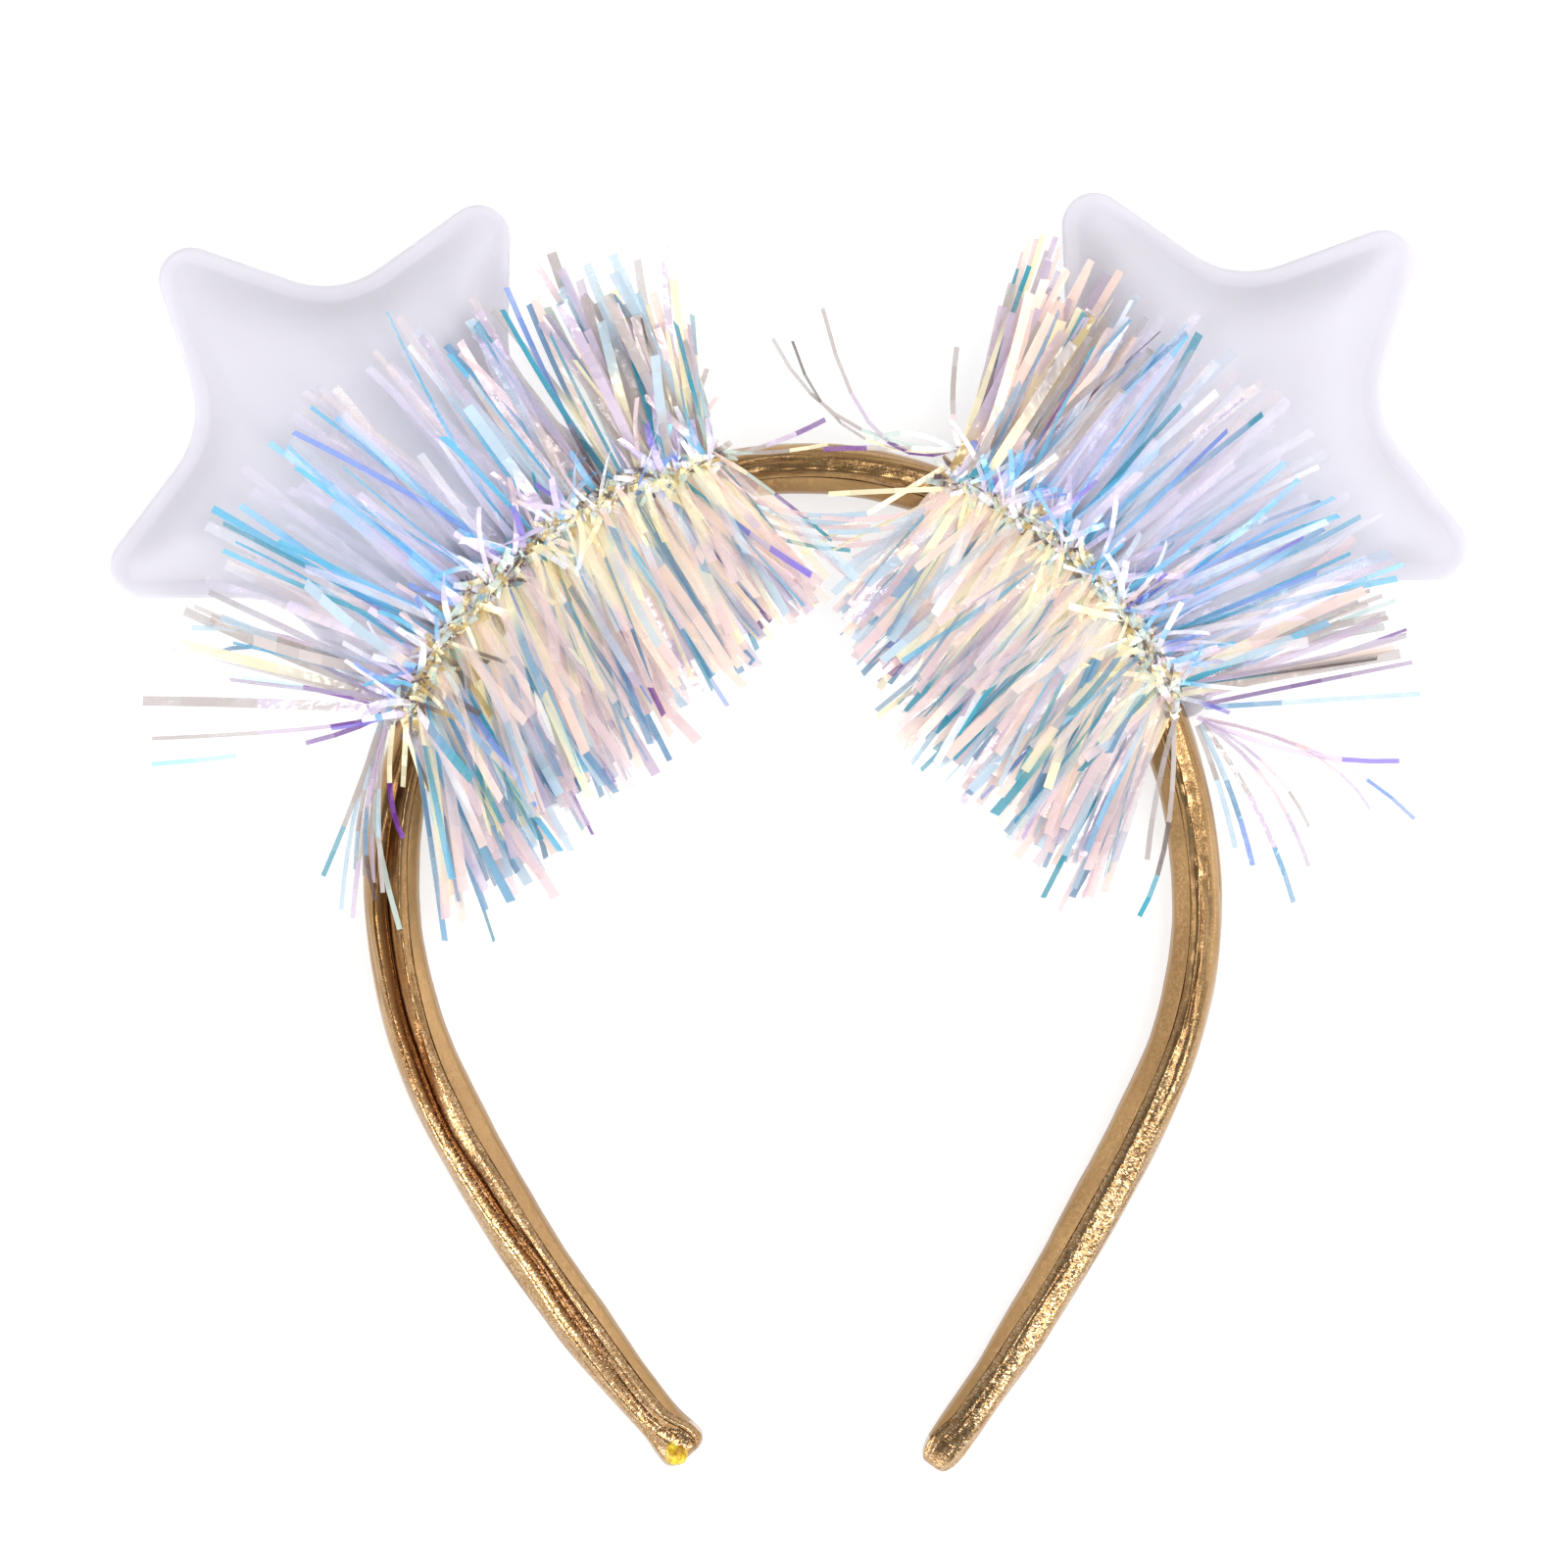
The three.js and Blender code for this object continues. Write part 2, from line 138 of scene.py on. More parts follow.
# Tinsel garlands: the core's ends along the hoop, and its place on the band
GARLANDS = {"left": (-12.5, -74), "right": (22, 69)}
CORE_OUT = 2.6
CORE_Z = 12.1
CORE_RADIUS = 1.9
TINSEL_SEEDS = {"left": 191, "right": 192}
STRIP_WIDTH = 1.5
STRIP_SEGMENTS = 7
STRIP_THICK = 0.06
# Half of a stray strip's width, as a share of a full strip's
STRAY_HALF_WIDTH = 0.28
# Stray strips' heights over the core at their three points, what chance adds to each, and their roll in degrees
STRAY_HEIGHTS = np.array((0.4, 1.0, 1.2))
STRAY_RISE = np.array((0, 1.0, 2.0))
STRAY_ROLL = (15, 60)
STRAY_COVER = (0.7, 1.0)

# Camera: the photo's frame is 240 mm wide, about this point of the plan
FRAME_WIDTH = 240
FRAME_MIDDLE = (-0.68, 7.5)
CAMERA_HEIGHT = 1200
SENSOR = 36.0
# The floor's half width and its place just under the part, in metres
FLOOR_HALF = 2.5
FLOOR_Z = -0.0002


def smoothstep(value, low, high):
    share = np.clip((value - low) / (high - low), 0, 1)
    return share * share * (3 - 2 * share)


def linear(red, green, blue):
    """Colour for a shader from the 0 to 255 values of a screen."""
    def channel(value):
        value /= 255
        return value / 12.92 if value <= 0.04045 else ((value + 0.055) / 1.055) ** 2.4
    return (channel(red), channel(green), channel(blue), 1.0)


def ripple(along, angle, waves, seed):
    """Smooth repeatable noise from named waves."""
    rng = np.random.default_rng(seed)
    total = np.zeros(np.broadcast(along, angle).shape)
    for length, turns, height in WAVES[waves]:
        phase = rng.uniform(0, 2 * math.pi)
        total += height * np.sin(2 * math.pi * along / length + turns * angle + phase)
    return total


def hoop_at(along):
    """Points on the hoop's centre line, with directions out of the hoop and towards the crown."""
    along = np.atleast_1d(np.asarray(along, float))
    point = np.zeros((len(along), 3))
    heading = np.zeros(len(along))
    side = np.where(along < 0, -1.0, 1.0)
    for name, mine in (("left", along < 0), ("right", along >= 0)):
        rest = np.abs(along[mine])
        turned = np.zeros(len(rest))
        arcs = ARM_ARCS[name]
        for i, (radius, turn) in enumerate(arcs):
            is_last = i == len(arcs) - 1
            step = rest if is_last else np.minimum(rest, radius * math.radians(turn))
            after = turned + step / radius
            point[mine, 0] += radius * (np.sin(after) - np.sin(turned))
            point[mine, 1] += radius * (np.cos(after) - np.cos(turned))
            turned = after
            rest = rest - step
        heading[mine] = turned
    point[:, 0] = CROWN[0] + side * point[:, 0]
    point[:, 1] += CROWN[1]
    flat = np.zeros(len(along))
    outward = np.stack((side * np.sin(heading), np.cos(heading), flat), axis=1)
    crownward = np.stack((-side * np.cos(heading), np.sin(heading), flat), axis=1)
    return point, outward, crownward


def section_at(along):
    """Thickness, depth and fold of the band, eased between the rows of its table."""
    row = np.clip(np.searchsorted(BAND_SECTIONS[:, 0], along), 1, len(BAND_SECTIONS) - 1)
    before = BAND_SECTIONS[row - 1]
    after = BAND_SECTIONS[row]
    share = smoothstep(along, before[:, 0], after[:, 0])[:, None]
    return (before + share * (after - before))[:, 1:].T


def place_sections(along, out, up):
    """Section points (out of the hoop, up) placed in space, as an array of rings."""
    point, outward, _ = hoop_at(along)
    rings = point[:, None, :] + out[:, :, None] * outward[:, None, :]
    rings[:, :, 2] = up
    return rings


def to_metres(points):
    return (np.asarray(points).reshape(-1, 3) + PLAN_SHIFT) * MM


def add_object(name, data):
    thing = bpy.data.objects.new(name, data)
    bpy.context.scene.collection.objects.link(thing)
    return thing


def make_object(name, points, faces, material):
    mesh = bpy.data.meshes.new(name)
    mesh.from_pydata(to_metres(points).tolist(), [], [list(map(int, face)) for face in faces])
    mesh.validate()
    mesh.materials.append(material)
    mesh.shade_smooth()
    return add_object(name, mesh)


def ring_angles(sides):
    """Angles round a section, from straight inwards."""
    return np.linspace(-math.pi, math.pi, sides, endpoint=False)[None, :]


def loft_faces(rings, sides):
    """Quads between closed rings, in the order ring by ring and side by side."""
    first = np.arange(rings - 1)[:, None] * sides
    k = np.arange(sides)[None, :]
    after = (k + 1) % sides
    quads = np.stack((first + k, first + after, first + sides + after, first + sides + k), axis=2)
    return quads.reshape(-1, 4)


def closed_loft(name, rings, material):
    """Closed mesh through rings of points, with a fan round the middle of the ring at both ends."""
    count, sides = rings.shape[:2]
    points = np.concatenate((rings.reshape(-1, 3), [rings[0].mean(axis=0)], [rings[-1].mean(axis=0)]))
    faces = loft_faces(count, sides).tolist()
    last = (count - 1) * sides
    for k in range(sides):
        after = (k + 1) % sides
        faces.append((count * sides, after, k))
        faces.append((count * sides + 1, last + k, last + after))
    piece = make_object(name, points, faces, material)
    turn_outwards(piece)
    return piece


def turn_outwards(piece):
    """Turns the faces of a closed mesh outwards."""
    mesh = piece.data
    mesh.calc_loop_triangles()
    corner = np.zeros(len(mesh.vertices) * 3)
    mesh.vertices.foreach_get("co", corner)
    triangles = np.zeros(len(mesh.loop_triangles) * 3, dtype=np.int32)
    mesh.loop_triangles.foreach_get("vertices", triangles)
    a, b, c = corner.reshape(-1, 3)[triangles.reshape(-1, 3)].transpose(1, 0, 2)
    if np.sum(np.cross(a, b) * c) < 0:
        mesh.flip_normals()


def set_uv(piece, uv_grid, rings, sides):
    """Lays the first rings x sides quads of a loft flat, in metres along and round the band."""
    mesh = piece.data
    layer = mesh.uv_layers.new(name="cloth")
    for polygon in mesh.polygons[:(rings - 1) * sides]:
        ring, side = divmod(polygon.index, sides)
        corners = ((ring, side), (ring, side + 1), (ring + 1, side + 1), (ring + 1, side))
        place = {r * sides + s % sides: uv_grid[r, s] for r, s in corners}
        for loop in polygon.loop_indices:
            layer.data[loop].uv = place[mesh.loops[loop].vertex_index]


def set_values(piece, name, domain, values):
    """Stores a number for each point or face of a mesh. Those past the end of the values get 0."""
    layer = piece.data.attributes.new(name, "FLOAT", domain)
    padded = np.zeros(len(layer.data), dtype=np.float32)
    padded[:values.size] = values.ravel()
    layer.data.foreach_set("value", padded)


# Materials

def fill_inputs(tree, node, inputs):
    """Sets a node's inputs, with a link where the value is another node's output."""
    for key, value in inputs.items():
        if isinstance(value, bpy.types.NodeSocket):
            tree.links.new(value, node.inputs[key])
        else:
            node.inputs[key].default_value = value


def new_material(name):
    """A material, its nodes, and a function that sets the inputs of its surface."""
    material = bpy.data.materials.new(name)
    material.use_nodes = True
    tree = material.node_tree
    return material, tree, lambda inputs: fill_inputs(tree, tree.nodes["Principled BSDF"], inputs)


def add_node(tree, kind, inputs=None, **settings):
    node = tree.nodes.new("ShaderNode" + kind)
    for key, value in settings.items():
        setattr(node, key, value)
    fill_inputs(tree, node, inputs or {})
    return node


def add_ramp(tree, factor, *stops):
    """Colour ramp with (position, colour) stops."""
    node = add_node(tree, "ValToRGB", {"Fac": factor})
    elements = node.color_ramp.elements
    while len(elements) < len(stops):
        elements.new(1.0)
    for element, (position, colour) in zip(elements, stops):
        element.position = position
        element.color = colour
    return node.outputs["Color"]


def add_noise(tree, place, scale, detail=2.0, roughness=0.5):
    inputs = {"Vector": place, "Scale": scale, "Detail": detail, "Roughness": roughness}
    return add_node(tree, "TexNoise", inputs).outputs["Fac"]


def add_bump(tree, height, strength, distance, **normal):
    inputs = {"Height": height, "Strength": strength, "Distance": distance, **normal}
    return add_node(tree, "Bump", inputs).outputs["Normal"]


def add_mix(tree, factor, first, second):
    return add_node(tree, "Mix", {"Factor": factor, 6: first, 7: second}, data_type="RGBA").outputs[2]


def add_range(tree, value, low, high):
    return add_node(tree, "MapRange", {"Value": value, "To Min": low, "To Max": high}).outputs["Result"]


def add_vector(tree, operation, inputs):
    return add_node(tree, "VectorMath", inputs, operation=operation).outputs[0]


def attribute(tree, name):
    return add_node(tree, "Attribute", attribute_name=name).outputs["Fac"]


def object_place(tree):
    return add_node(tree, "TexCoord").outputs["Object"]


def cloth_place(tree, along, across):
    """Place on the cloth, stretched along the hoop and across it."""
    uv = add_node(tree, "UVMap", uv_map="cloth").outputs["UV"]
    return add_node(tree, "Mapping", {"Vector": uv, "Scale": (along, across, 1.0)}).outputs["Vector"]


def sparkle_normal(tree, place, cells, strength):
    """Surface direction tipped at random in each small cell, as yarn glints, and the cell's number."""
    cell = add_node(tree, "TexVoronoi", {"Vector": place, "Scale": cells}).outputs["Color"]
    centred = add_vector(tree, "SUBTRACT", {0: cell, 1: (0.5, 0.5, 0.5)})
    tipped = add_vector(tree, "SCALE", {0: centred, "Scale": strength})
    surface = add_node(tree, "NewGeometry").outputs["Normal"]
    unit = add_vector(tree, "NORMALIZE", {0: add_vector(tree, "ADD", {0: surface, 1: tipped})})
    return unit, add_node(tree, "SeparateXYZ", {"Vector": cell}).outputs["Z"]


def gold_cloth():
    """Gold lamé: smooth where it is stretched, elsewhere brown and pale grains that glint one by one."""
    material, tree, surface = new_material("gold_cloth")
    strength = attribute(tree, "glint")
    glint, number = sparkle_normal(tree, cloth_place(tree, 1.8, 1.0), 3000, strength)
    threads = add_noise(tree, cloth_place(tree, 0.35, 1.6), 1500.0, 3.0, 0.6)
    patches = add_noise(tree, cloth_place(tree, 1.0, 2.0), 90.0, 4.0)
    gold = add_ramp(tree, patches, (0.3, linear(156, 120, 75)), (0.7, linear(186, 150, 104)))
    grains = add_ramp(tree, number, (0.1, linear(136, 99, 60)), (0.5, linear(178, 142, 98)),
                      (0.9, linear(230, 212, 182)))
    share = add_node(tree, "Math", {0: strength, 1: 2.3}, operation="MULTIPLY").outputs[0]
    grainy = add_mix(tree, share, gold, grains)
    surface({
        # Painted shade: the cloth turns dark brown where its creases and seams are.
        "Base Color": add_mix(tree, attribute(tree, "painted_crease_shade"), grainy, linear(96, 58, 26)),
        "Roughness": add_range(tree, threads, 0.14, 0.24),
        "Normal": add_bump(tree, threads, 0.16, 0.0002, Normal=glint),
        "Metallic": 0.95,
    })
    return material


def lining_cloth():
    """The same cloth pulled flat over the stiff inner strip, duller and finer."""
    material, tree, surface = new_material("lining_cloth")
    grain = cloth_place(tree, 1.0, 1.6)
    glint, _ = sparkle_normal(tree, grain, 2400, 0.28)
    weave = add_noise(tree, grain, 1100.0)
    patches = add_noise(tree, cloth_place(tree, 0.5, 2.0), 70.0, 3.0)
    surface({
        "Base Color": add_ramp(tree, patches, (0.3, linear(148, 113, 70)), (0.7, linear(174, 138, 90))),
        "Normal": add_bump(tree, weave, 0.35, 0.0001, Normal=glint),
        "Metallic": 0.45,
        "Roughness": 0.48,
    })
    return material


def milky_plastic():
    """Frosted translucent plastic with a faint lavender cast."""
    material, tree, surface = new_material("milky_plastic")
    cloud = add_noise(tree, object_place(tree), 26.0, 3.0)
    frost = add_noise(tree, object_place(tree), 900.0)
    surface({
        "Base Color": add_ramp(tree, cloud, (0.3, linear(233, 229, 240)), (0.7, linear(239, 235, 246))),
        "Normal": add_bump(tree, frost, 0.04, 0.0002),
        "Roughness": add_range(tree, cloud, 0.44, 0.54),
        "IOR": 1.46,
        "Transmission Weight": 0.3,
        "Subsurface Weight": 0.5,
        "Subsurface Radius": (1.0, 0.9, 1.0),
        "Subsurface Scale": 0.004,
    })
    return material


# Colours that the film shows, 0 to 255, in the order of its colour ramp
FILM_COLOURS = {
    "teal": (62, 158, 178),
    "cyan": (104, 188, 220),
    "sky": (152, 204, 240),
    "blue": (132, 160, 226),
    "violet": (134, 116, 208),
    "lilac": (228, 214, 240),
    "silver": (240, 240, 246),
    "mist": (184, 206, 220),
    "rose": (230, 206, 208),
    "peach": (244, 220, 208),
    "cream": (249, 242, 208),
    # The band's gold, painted on the film as its reflection.
    "band_gold_reflection": (196, 166, 100),
    "mint": (206, 222, 214),
    "steel": (116, 160, 192),
    "mauve": (200, 184, 204),
    "taupe": (184, 174, 170),
    "umber": (96, 80, 74),
    "purple": (112, 48, 146),
}
FILM_HUES = {name: (i + 0.5) / len(FILM_COLOURS) for i, name in enumerate(FILM_COLOURS)}


def iridescent_film():
    """Thin glossy film, its colour and clearness set strip by strip."""
    material, tree, surface = new_material("iridescent_film")
    stops = [(FILM_HUES[name], linear(*colour)) for name, colour in FILM_COLOURS.items()]
    near, far = (add_ramp(tree, attribute(tree, name), *stops) for name in ("hue", "far_hue"))
    colour = add_mix(tree, attribute(tree, "turned"), near, far)
    crinkle = add_noise(tree, object_place(tree), 420.0)
    surface({
        "Base Color": colour,
        "Alpha": attribute(tree, "cover"),
        "Normal": add_bump(tree, crinkle, 0.35, 0.0006),
        # The film glows faintly in its own colour: painted light, standing in for light that passes through it.
        "Emission Color": colour,
        "Emission Strength": 0.17,
        "Metallic": 0.12,
        "Roughness": 0.16,
        "Specular IOR Level": 0.8,
        "Thin Film Thickness": 430.0,
        "Thin Film IOR": 1.7,
    })
    return material


def core_thread():
    """Twisted silver thread that carries the strips."""
    material, tree, surface = new_material("core_thread")
    glint, _ = sparkle_normal(tree, object_place(tree), 1400, 0.8)
    shade = add_noise(tree, object_place(tree), 500.0)
    surface({
        "Base Color": add_ramp(tree, shade, (0.3, linear(150, 156, 136)), (0.5, linear(230, 230, 208)),
                               (0.7, linear(202, 216, 206))),
        "Normal": glint,
        "Metallic": 0.85,
        "Roughness": 0.2,
    })
    return material


def glue():
    """Hardened drop of yellow glue."""
    material, tree, surface = new_material("glue")
    cloud = add_noise(tree, object_place(tree), 900.0)
    surface({
        "Base Color": add_ramp(tree, cloud, (0.35, linear(158, 112, 14)), (0.65, linear(236, 206, 44))),
        "Normal": add_bump(tree, cloud, 0.4, 0.0004),
        "Roughness": 0.16,
        "Subsurface Weight": 0.3,
        "Subsurface Scale": 0.001,
    })
    return material


def pale_floor():
    """White lit table."""
    material, tree, surface = new_material("pale_floor")
    paper = add_noise(tree, object_place(tree), 60.0)
    surface({
        "Base Color": add_ramp(tree, paper, (0.0, linear(176, 176, 177)), (1.0, linear(180, 180, 180))),
        "Roughness": 0.9,
        "Specular IOR Level": 0.1,
        "Emission Color": (1.0, 1.0, 1.0, 1.0),
        "Emission Strength": 0.64,
    })
    return material


# Band

def lining_room(along):
    """Room that the lining takes behind the cover, none at the tips."""
    thick = np.interp(along, *LINING_SECTIONS.T)
    return (thick + SEAM) * smoothstep(to_tip(along), *TIP_WRAP)


def to_tip(along):
    """Distance to the nearer tip."""
    return np.minimum(along - LEFT_TIP, RIGHT_TIP - along)


def tip_size(along):
    """Share of the full section that is left where a tip rounds off."""
    from_left = (along - LEFT_TIP) / TIP_ROUNDING["left"]
    from_right = (RIGHT_TIP - along) / TIP_ROUNDING["right"]
    depth = 1 - np.clip(np.minimum(from_left, from_right), 0, 1)
    return TIP_SMALLEST + (1 - TIP_SMALLEST) * np.sqrt(1 - depth ** 2)


# Long fold of the left arm, in degrees round the section: its valley's width, the ridges beside it (middle from
# the valley, width, height) and the valley's depth
FOLD_WIDTH = 10
FOLD_RIDGES = ((-20, 11, 0.4), (28, 14, 0.25))
FOLD_DEPTH = 1.3
# Fine folds: seed, middle and width in degrees round the section, depth
FINE_FOLDS = ((11, 30, 4, 0.14), (12, 52, 3, 0.12), (13, 88, 3.5, 0.2), (14, -8, 4, 0.12))
# Puckers by the seams, at this angle from the front of the dome and this wide
SEAM_ANGLE = 112
SEAM_WIDTH = 24
# Gathers at the tips: height, how many, slant, and the distances from a tip between which they fade
GATHERS = (0.18, 9, 0.12)
GATHERS_FADE = (2, 12)
# Painted shade beside the fold on the upper left arm: width, strength, and where it begins and ends
SHADE_WIDTH = 27
SHADE = 0.6
SHADE_FROM = (70, 92)
SHADE_TO = (122, 150)


def bell(value, width):
    return np.exp(-(value / width) ** 2)


def cover_wrinkles(along, angle):
    """Depth of the cloth's folds, as a distance out of the section, and the painted shade in its creases and by
    its seams.
    """
    degrees = np.degrees(angle)
    fold = section_at(along[:, 0])[2][:, None]
    drift = ripple(along, 0, "drift", 3)
    from_fold = degrees - FOLD_ANGLE - drift
    valley = bell(from_fold, FOLD_WIDTH)
    lines = np.zeros_like(valley)
    for seed, middle, width, depth in FINE_FOLDS:
        wander = ripple(along, 0, "wander", seed)
        present = smoothstep(ripple(along, 0, "presence", seed + 20), -0.2, 0.8)
        lines += depth * present * bell(degrees - middle - wander, width)
    slack = ripple(along, angle, "slack", 31)
    puckers = ripple(along, angle, "puckers", 37)
    near_seam = bell(np.abs(degrees) - SEAM_ANGLE, SEAM_WIDTH)
    height, turns, slant = GATHERS
    gathers = height * np.cos(turns * angle + slant * along) * (1 - smoothstep(to_tip(along), *GATHERS_FADE))
    ridges = sum(height * bell(from_fold - middle, width) for middle, width, height in FOLD_RIDGES)
    out = fold * (ridges - FOLD_DEPTH * valley) - lines + slack + near_seam * puckers + gathers
    # Painted shade beside the fold, on the upper left arm only.
    shade = SHADE * bell(from_fold, SHADE_WIDTH)
    shade = shade * smoothstep(-along, *SHADE_FROM) * (1 - smoothstep(-along, *SHADE_TO))
    # Painted shade: brown in the fold's valley, in the fine folds, by the seams and beside the fold on the upper
    # left arm.
    painted_crease_shade = np.clip(0.9 * fold * valley + 3.2 * lines + 0.2 * near_seam + shade, 0, 1)
    return out, painted_crease_shade


def shoulder_corner(angle):
    """Shares of the way in along the shoulder and of the height left down the back, round a tight corner."""
    way = np.clip((np.abs(np.degrees(angle)) - 90) / 45, 0, 2)
    turn = np.clip((way - 1 + COVER_CORNER) / (2 * COVER_CORNER), 0, 1)
    level = np.where(turn > 0, 1 - COVER_CORNER * (1 - turn) ** 2, way)
    wall = np.where(turn < 1, 1 - COVER_CORNER * turn ** 2, 2 - way)
    return level, wall


def cover_section(along, angle, grow):
    """D-shaped section: flat against the lining, domed outwards."""
    thick, deep, _ = section_at(along)
    back = (-thick / 2 + lining_room(along))[:, None]
    half = (deep / 2 + grow)[:, None]
    shoulder = back + COVER_SHOULDER
    rise = thick[:, None] / 2 + grow - shoulder
    cosine, sine = np.cos(angle), np.sin(angle)
    level, wall = shoulder_corner(angle)
    slope = np.where(sine > 0, COVER_SLOPE, 0) * level ** 2
    out = np.where(cosine >= 0, shoulder + rise * np.abs(cosine) ** COVER_DOME,
                   shoulder - (COVER_SHOULDER + grow) * level)
    up = np.sign(sine) * np.where(cosine >= 0, half * np.abs(sine) ** COVER_DOME, (half - slope) * wall)
    middle = back + (thick[:, None] / 2 - back) / 2
    return out, up, middle, deep[:, None] / 2


def cover_stations(count):
    """Distances along the hoop, closer together where the tips round off."""
    body = np.linspace(LEFT_TIP + TIP_ROUNDING["left"], RIGHT_TIP - TIP_ROUNDING["right"], count)
    bend = np.linspace(0, math.pi / 2, TIP_STEPS)[:-1]
    left = LEFT_TIP + TIP_ROUNDING["left"] * (1 - np.cos(bend))
    right = RIGHT_TIP - TIP_ROUNDING["right"] * (1 - np.cos(bend))
    return np.concatenate((left, body, right[::-1]))


def round_tips(along, out, up, middle, half_deep):
    """Section points drawn together where the tips round off."""
    size = tip_size(along)[:, None]
    return middle + size * (out - middle), half_deep + size * up


def cloth_grid(rings, along):
    """Metres along the hoop and round the section for each point of a loft."""
    closed = np.concatenate((rings, rings[:, :1]), axis=1)
    step = np.linalg.norm(np.diff(closed, axis=1), axis=2)
    around = np.concatenate((np.zeros((len(rings), 1)), np.cumsum(step, axis=1)), axis=1)
    along = np.broadcast_to(along[:, None], around.shape)
    return np.stack((along, around), axis=2) * MM


def make_cover(material):
    along = cover_stations(COVER_STATIONS)
    angle = ring_angles(COVER_SIDES)
    out, up, *section = cover_section(along, angle, 0)
    push, painted_crease_shade = cover_wrinkles(along[:, None], angle)
    # The underside stays flat on the table
    rests = smoothstep(np.sin(angle), -1.0, -0.75)
    out = out + push * np.maximum(np.cos(angle), 0)
    up = up + push * np.sin(angle) * rests
    out, up = round_tips(along, out, up, *section)
    rings = place_sections(along, out, np.maximum(up, 0))
    piece = closed_loft("band_cover_cloth", rings, material)
    set_uv(piece, cloth_grid(rings, along), len(along), COVER_SIDES)
    set_values(piece, "painted_crease_shade", "POINT", painted_crease_shade)
    most = np.where(along < 0, GLINT_MOST["left"], GLINT_MOST["right"])
    glint = GLINT_LEAST + (most - GLINT_LEAST) * smoothstep(np.abs(along), *GLINT_FROM)
    set_values(piece, "glint", "POINT", np.broadcast_to(glint[:, None], painted_crease_shade.shape))
    return piece


def make_lining(material):
    start = TIP_WRAP[0] + 0.5
    along = np.linspace(LEFT_TIP + start, RIGHT_TIP - start, LINING_STATIONS)
    half = (lining_room(along) - SEAM * smoothstep(to_tip(along), *TIP_WRAP))[:, None] / 2
    angle = ring_angles(LINING_SIDES)
    thick, deep, _ = section_at(along)
    corner = np.where(np.cos(angle) > 0, *LINING_CORNERS)
    cosine = np.sign(np.cos(angle)) * np.abs(np.cos(angle)) ** corner
    sine = np.sign(np.sin(angle)) * np.abs(np.sin(angle)) ** corner
    waver = ripple(along[:, None], angle, "lining", 41)
    out = -thick[:, None] / 2 + half + (half + waver * (np.cos(angle) < 0)) * cosine
    inset = np.where(sine > 0, LINING_INSET["front"], LINING_INSET["back"])
    slope = np.where(sine > 0, LINING_SLOPE, 0) * (1 - cosine) / 2
    up = deep[:, None] / 2 + (deep[:, None] / 2 - inset - slope + waver) * sine
    rings = place_sections(along, out, up)
    piece = closed_loft("band_lining_cloth", rings, material)
    set_uv(piece, cloth_grid(rings, along), len(along), LINING_SIDES)
    return piece


def make_band_room():
    """The band's space with a gap round it, to cut from what sits on it."""
    along = cover_stations(ROOM_STATIONS)
    angle = ring_angles(ROOM_SIDES)
    out, up, *section = cover_section(along, angle, GAP)
    room = lining_room(along)[:, None]
    out = np.where(np.cos(angle) < 0, out - room * shoulder_corner(angle)[0], out)
    rings = place_sections(along, *round_tips(along, out, up, *section))
    return closed_loft("band_room", rings, None)


def cut(piece, tool):
    """Cuts the tool's space out of a piece."""
    modifier = piece.modifiers.new("cut", "BOOLEAN")
    modifier.operation = "DIFFERENCE"
    modifier.solver = "EXACT"
    modifier.object = tool
    shown = piece.evaluated_get(bpy.context.evaluated_depsgraph_get())
    mesh = bpy.data.meshes.new_from_object(shown)
    mesh.name = piece.name
    piece.modifiers.clear()
    piece.data = mesh
    mesh.shade_smooth()
    mesh.set_sharp_from_angle(angle=math.radians(40))


# Stars

def star_outline(inset):
    """Outline of the rounded star, moved inwards by an inset."""
    half_turn = math.pi / STAR_TIPS
    notch_x = STAR_NOTCH_RADIUS * math.cos(half_turn)
    notch_y = STAR_NOTCH_RADIUS * math.sin(half_turn)
    tip_half = math.atan2(notch_y, STAR_TIP_RADIUS - notch_x)
    notch_half = half_turn + tip_half
    tip_middle = STAR_TIP_RADIUS - STAR_TIP_ROUNDING / math.sin(tip_half)
    notch_middle = STAR_NOTCH_RADIUS + STAR_NOTCH_ROUNDING / math.sin(notch_half)
    tip = (tip_middle, STAR_TIP_ROUNDING - inset, math.pi / 2 - tip_half)
    notch = (notch_middle, -STAR_NOTCH_ROUNDING - inset, notch_half - math.pi / 2)
    arcs = []
    for k in range(2 * STAR_TIPS):
        middle, radius, spread = notch if k % 2 else tip
        axis = k * half_turn
        angle = axis + np.linspace(-spread, spread, STAR_ARC_STEPS)
        centre = middle * np.array((math.cos(axis), math.sin(axis)))
        arcs.append(centre + radius * np.stack((np.cos(angle), np.sin(angle)), axis=1))
    pairs = zip(arcs, arcs[1:] + arcs[:1])
    edges = [np.linspace(arc[-1], after[0], STAR_EDGE_STEPS)[1:-1] for arc, after in pairs]
    return np.concatenate([part for pair in zip(arcs, edges) for part in pair])


# Rim of a half shell from the dome's foot outwards and round the edge: inset and height
STAR_RIM_ROWS = (
    (2.3, 1.16), (1.9, 1.16), (0.8, 1.2), (0.45, 1.17), (0.18, 1.05), (0.04, 0.85),
    (0.0, 0.6), (0.0, 0.3), (0.06, 0.1), (0.25, 0.0), (1.5, 0.0), (3.0, 0.0),
)
STAR_DOME_SIZES = np.linspace(0.02, 1, 40) ** 0.85
# Distance over which the dome levels off, and the cell of the grid that it is worked out on
STAR_SOFTNESS = 5.0
STAR_CELL = 0.25
STAR_ROUNDS = 900


def is_inside(outline, x, y):
    """Which grid points lie inside an outline."""
    inside = np.zeros(x.shape, bool)
    for (x0, y0), (x1, y1) in zip(outline, np.roll(outline, -1, axis=0)):
        if y0 != y1:
            inside ^= ((y0 > y) != (y1 > y)) & (x < x0 + (y - y0) / (y1 - y0) * (x1 - x0))
    return inside


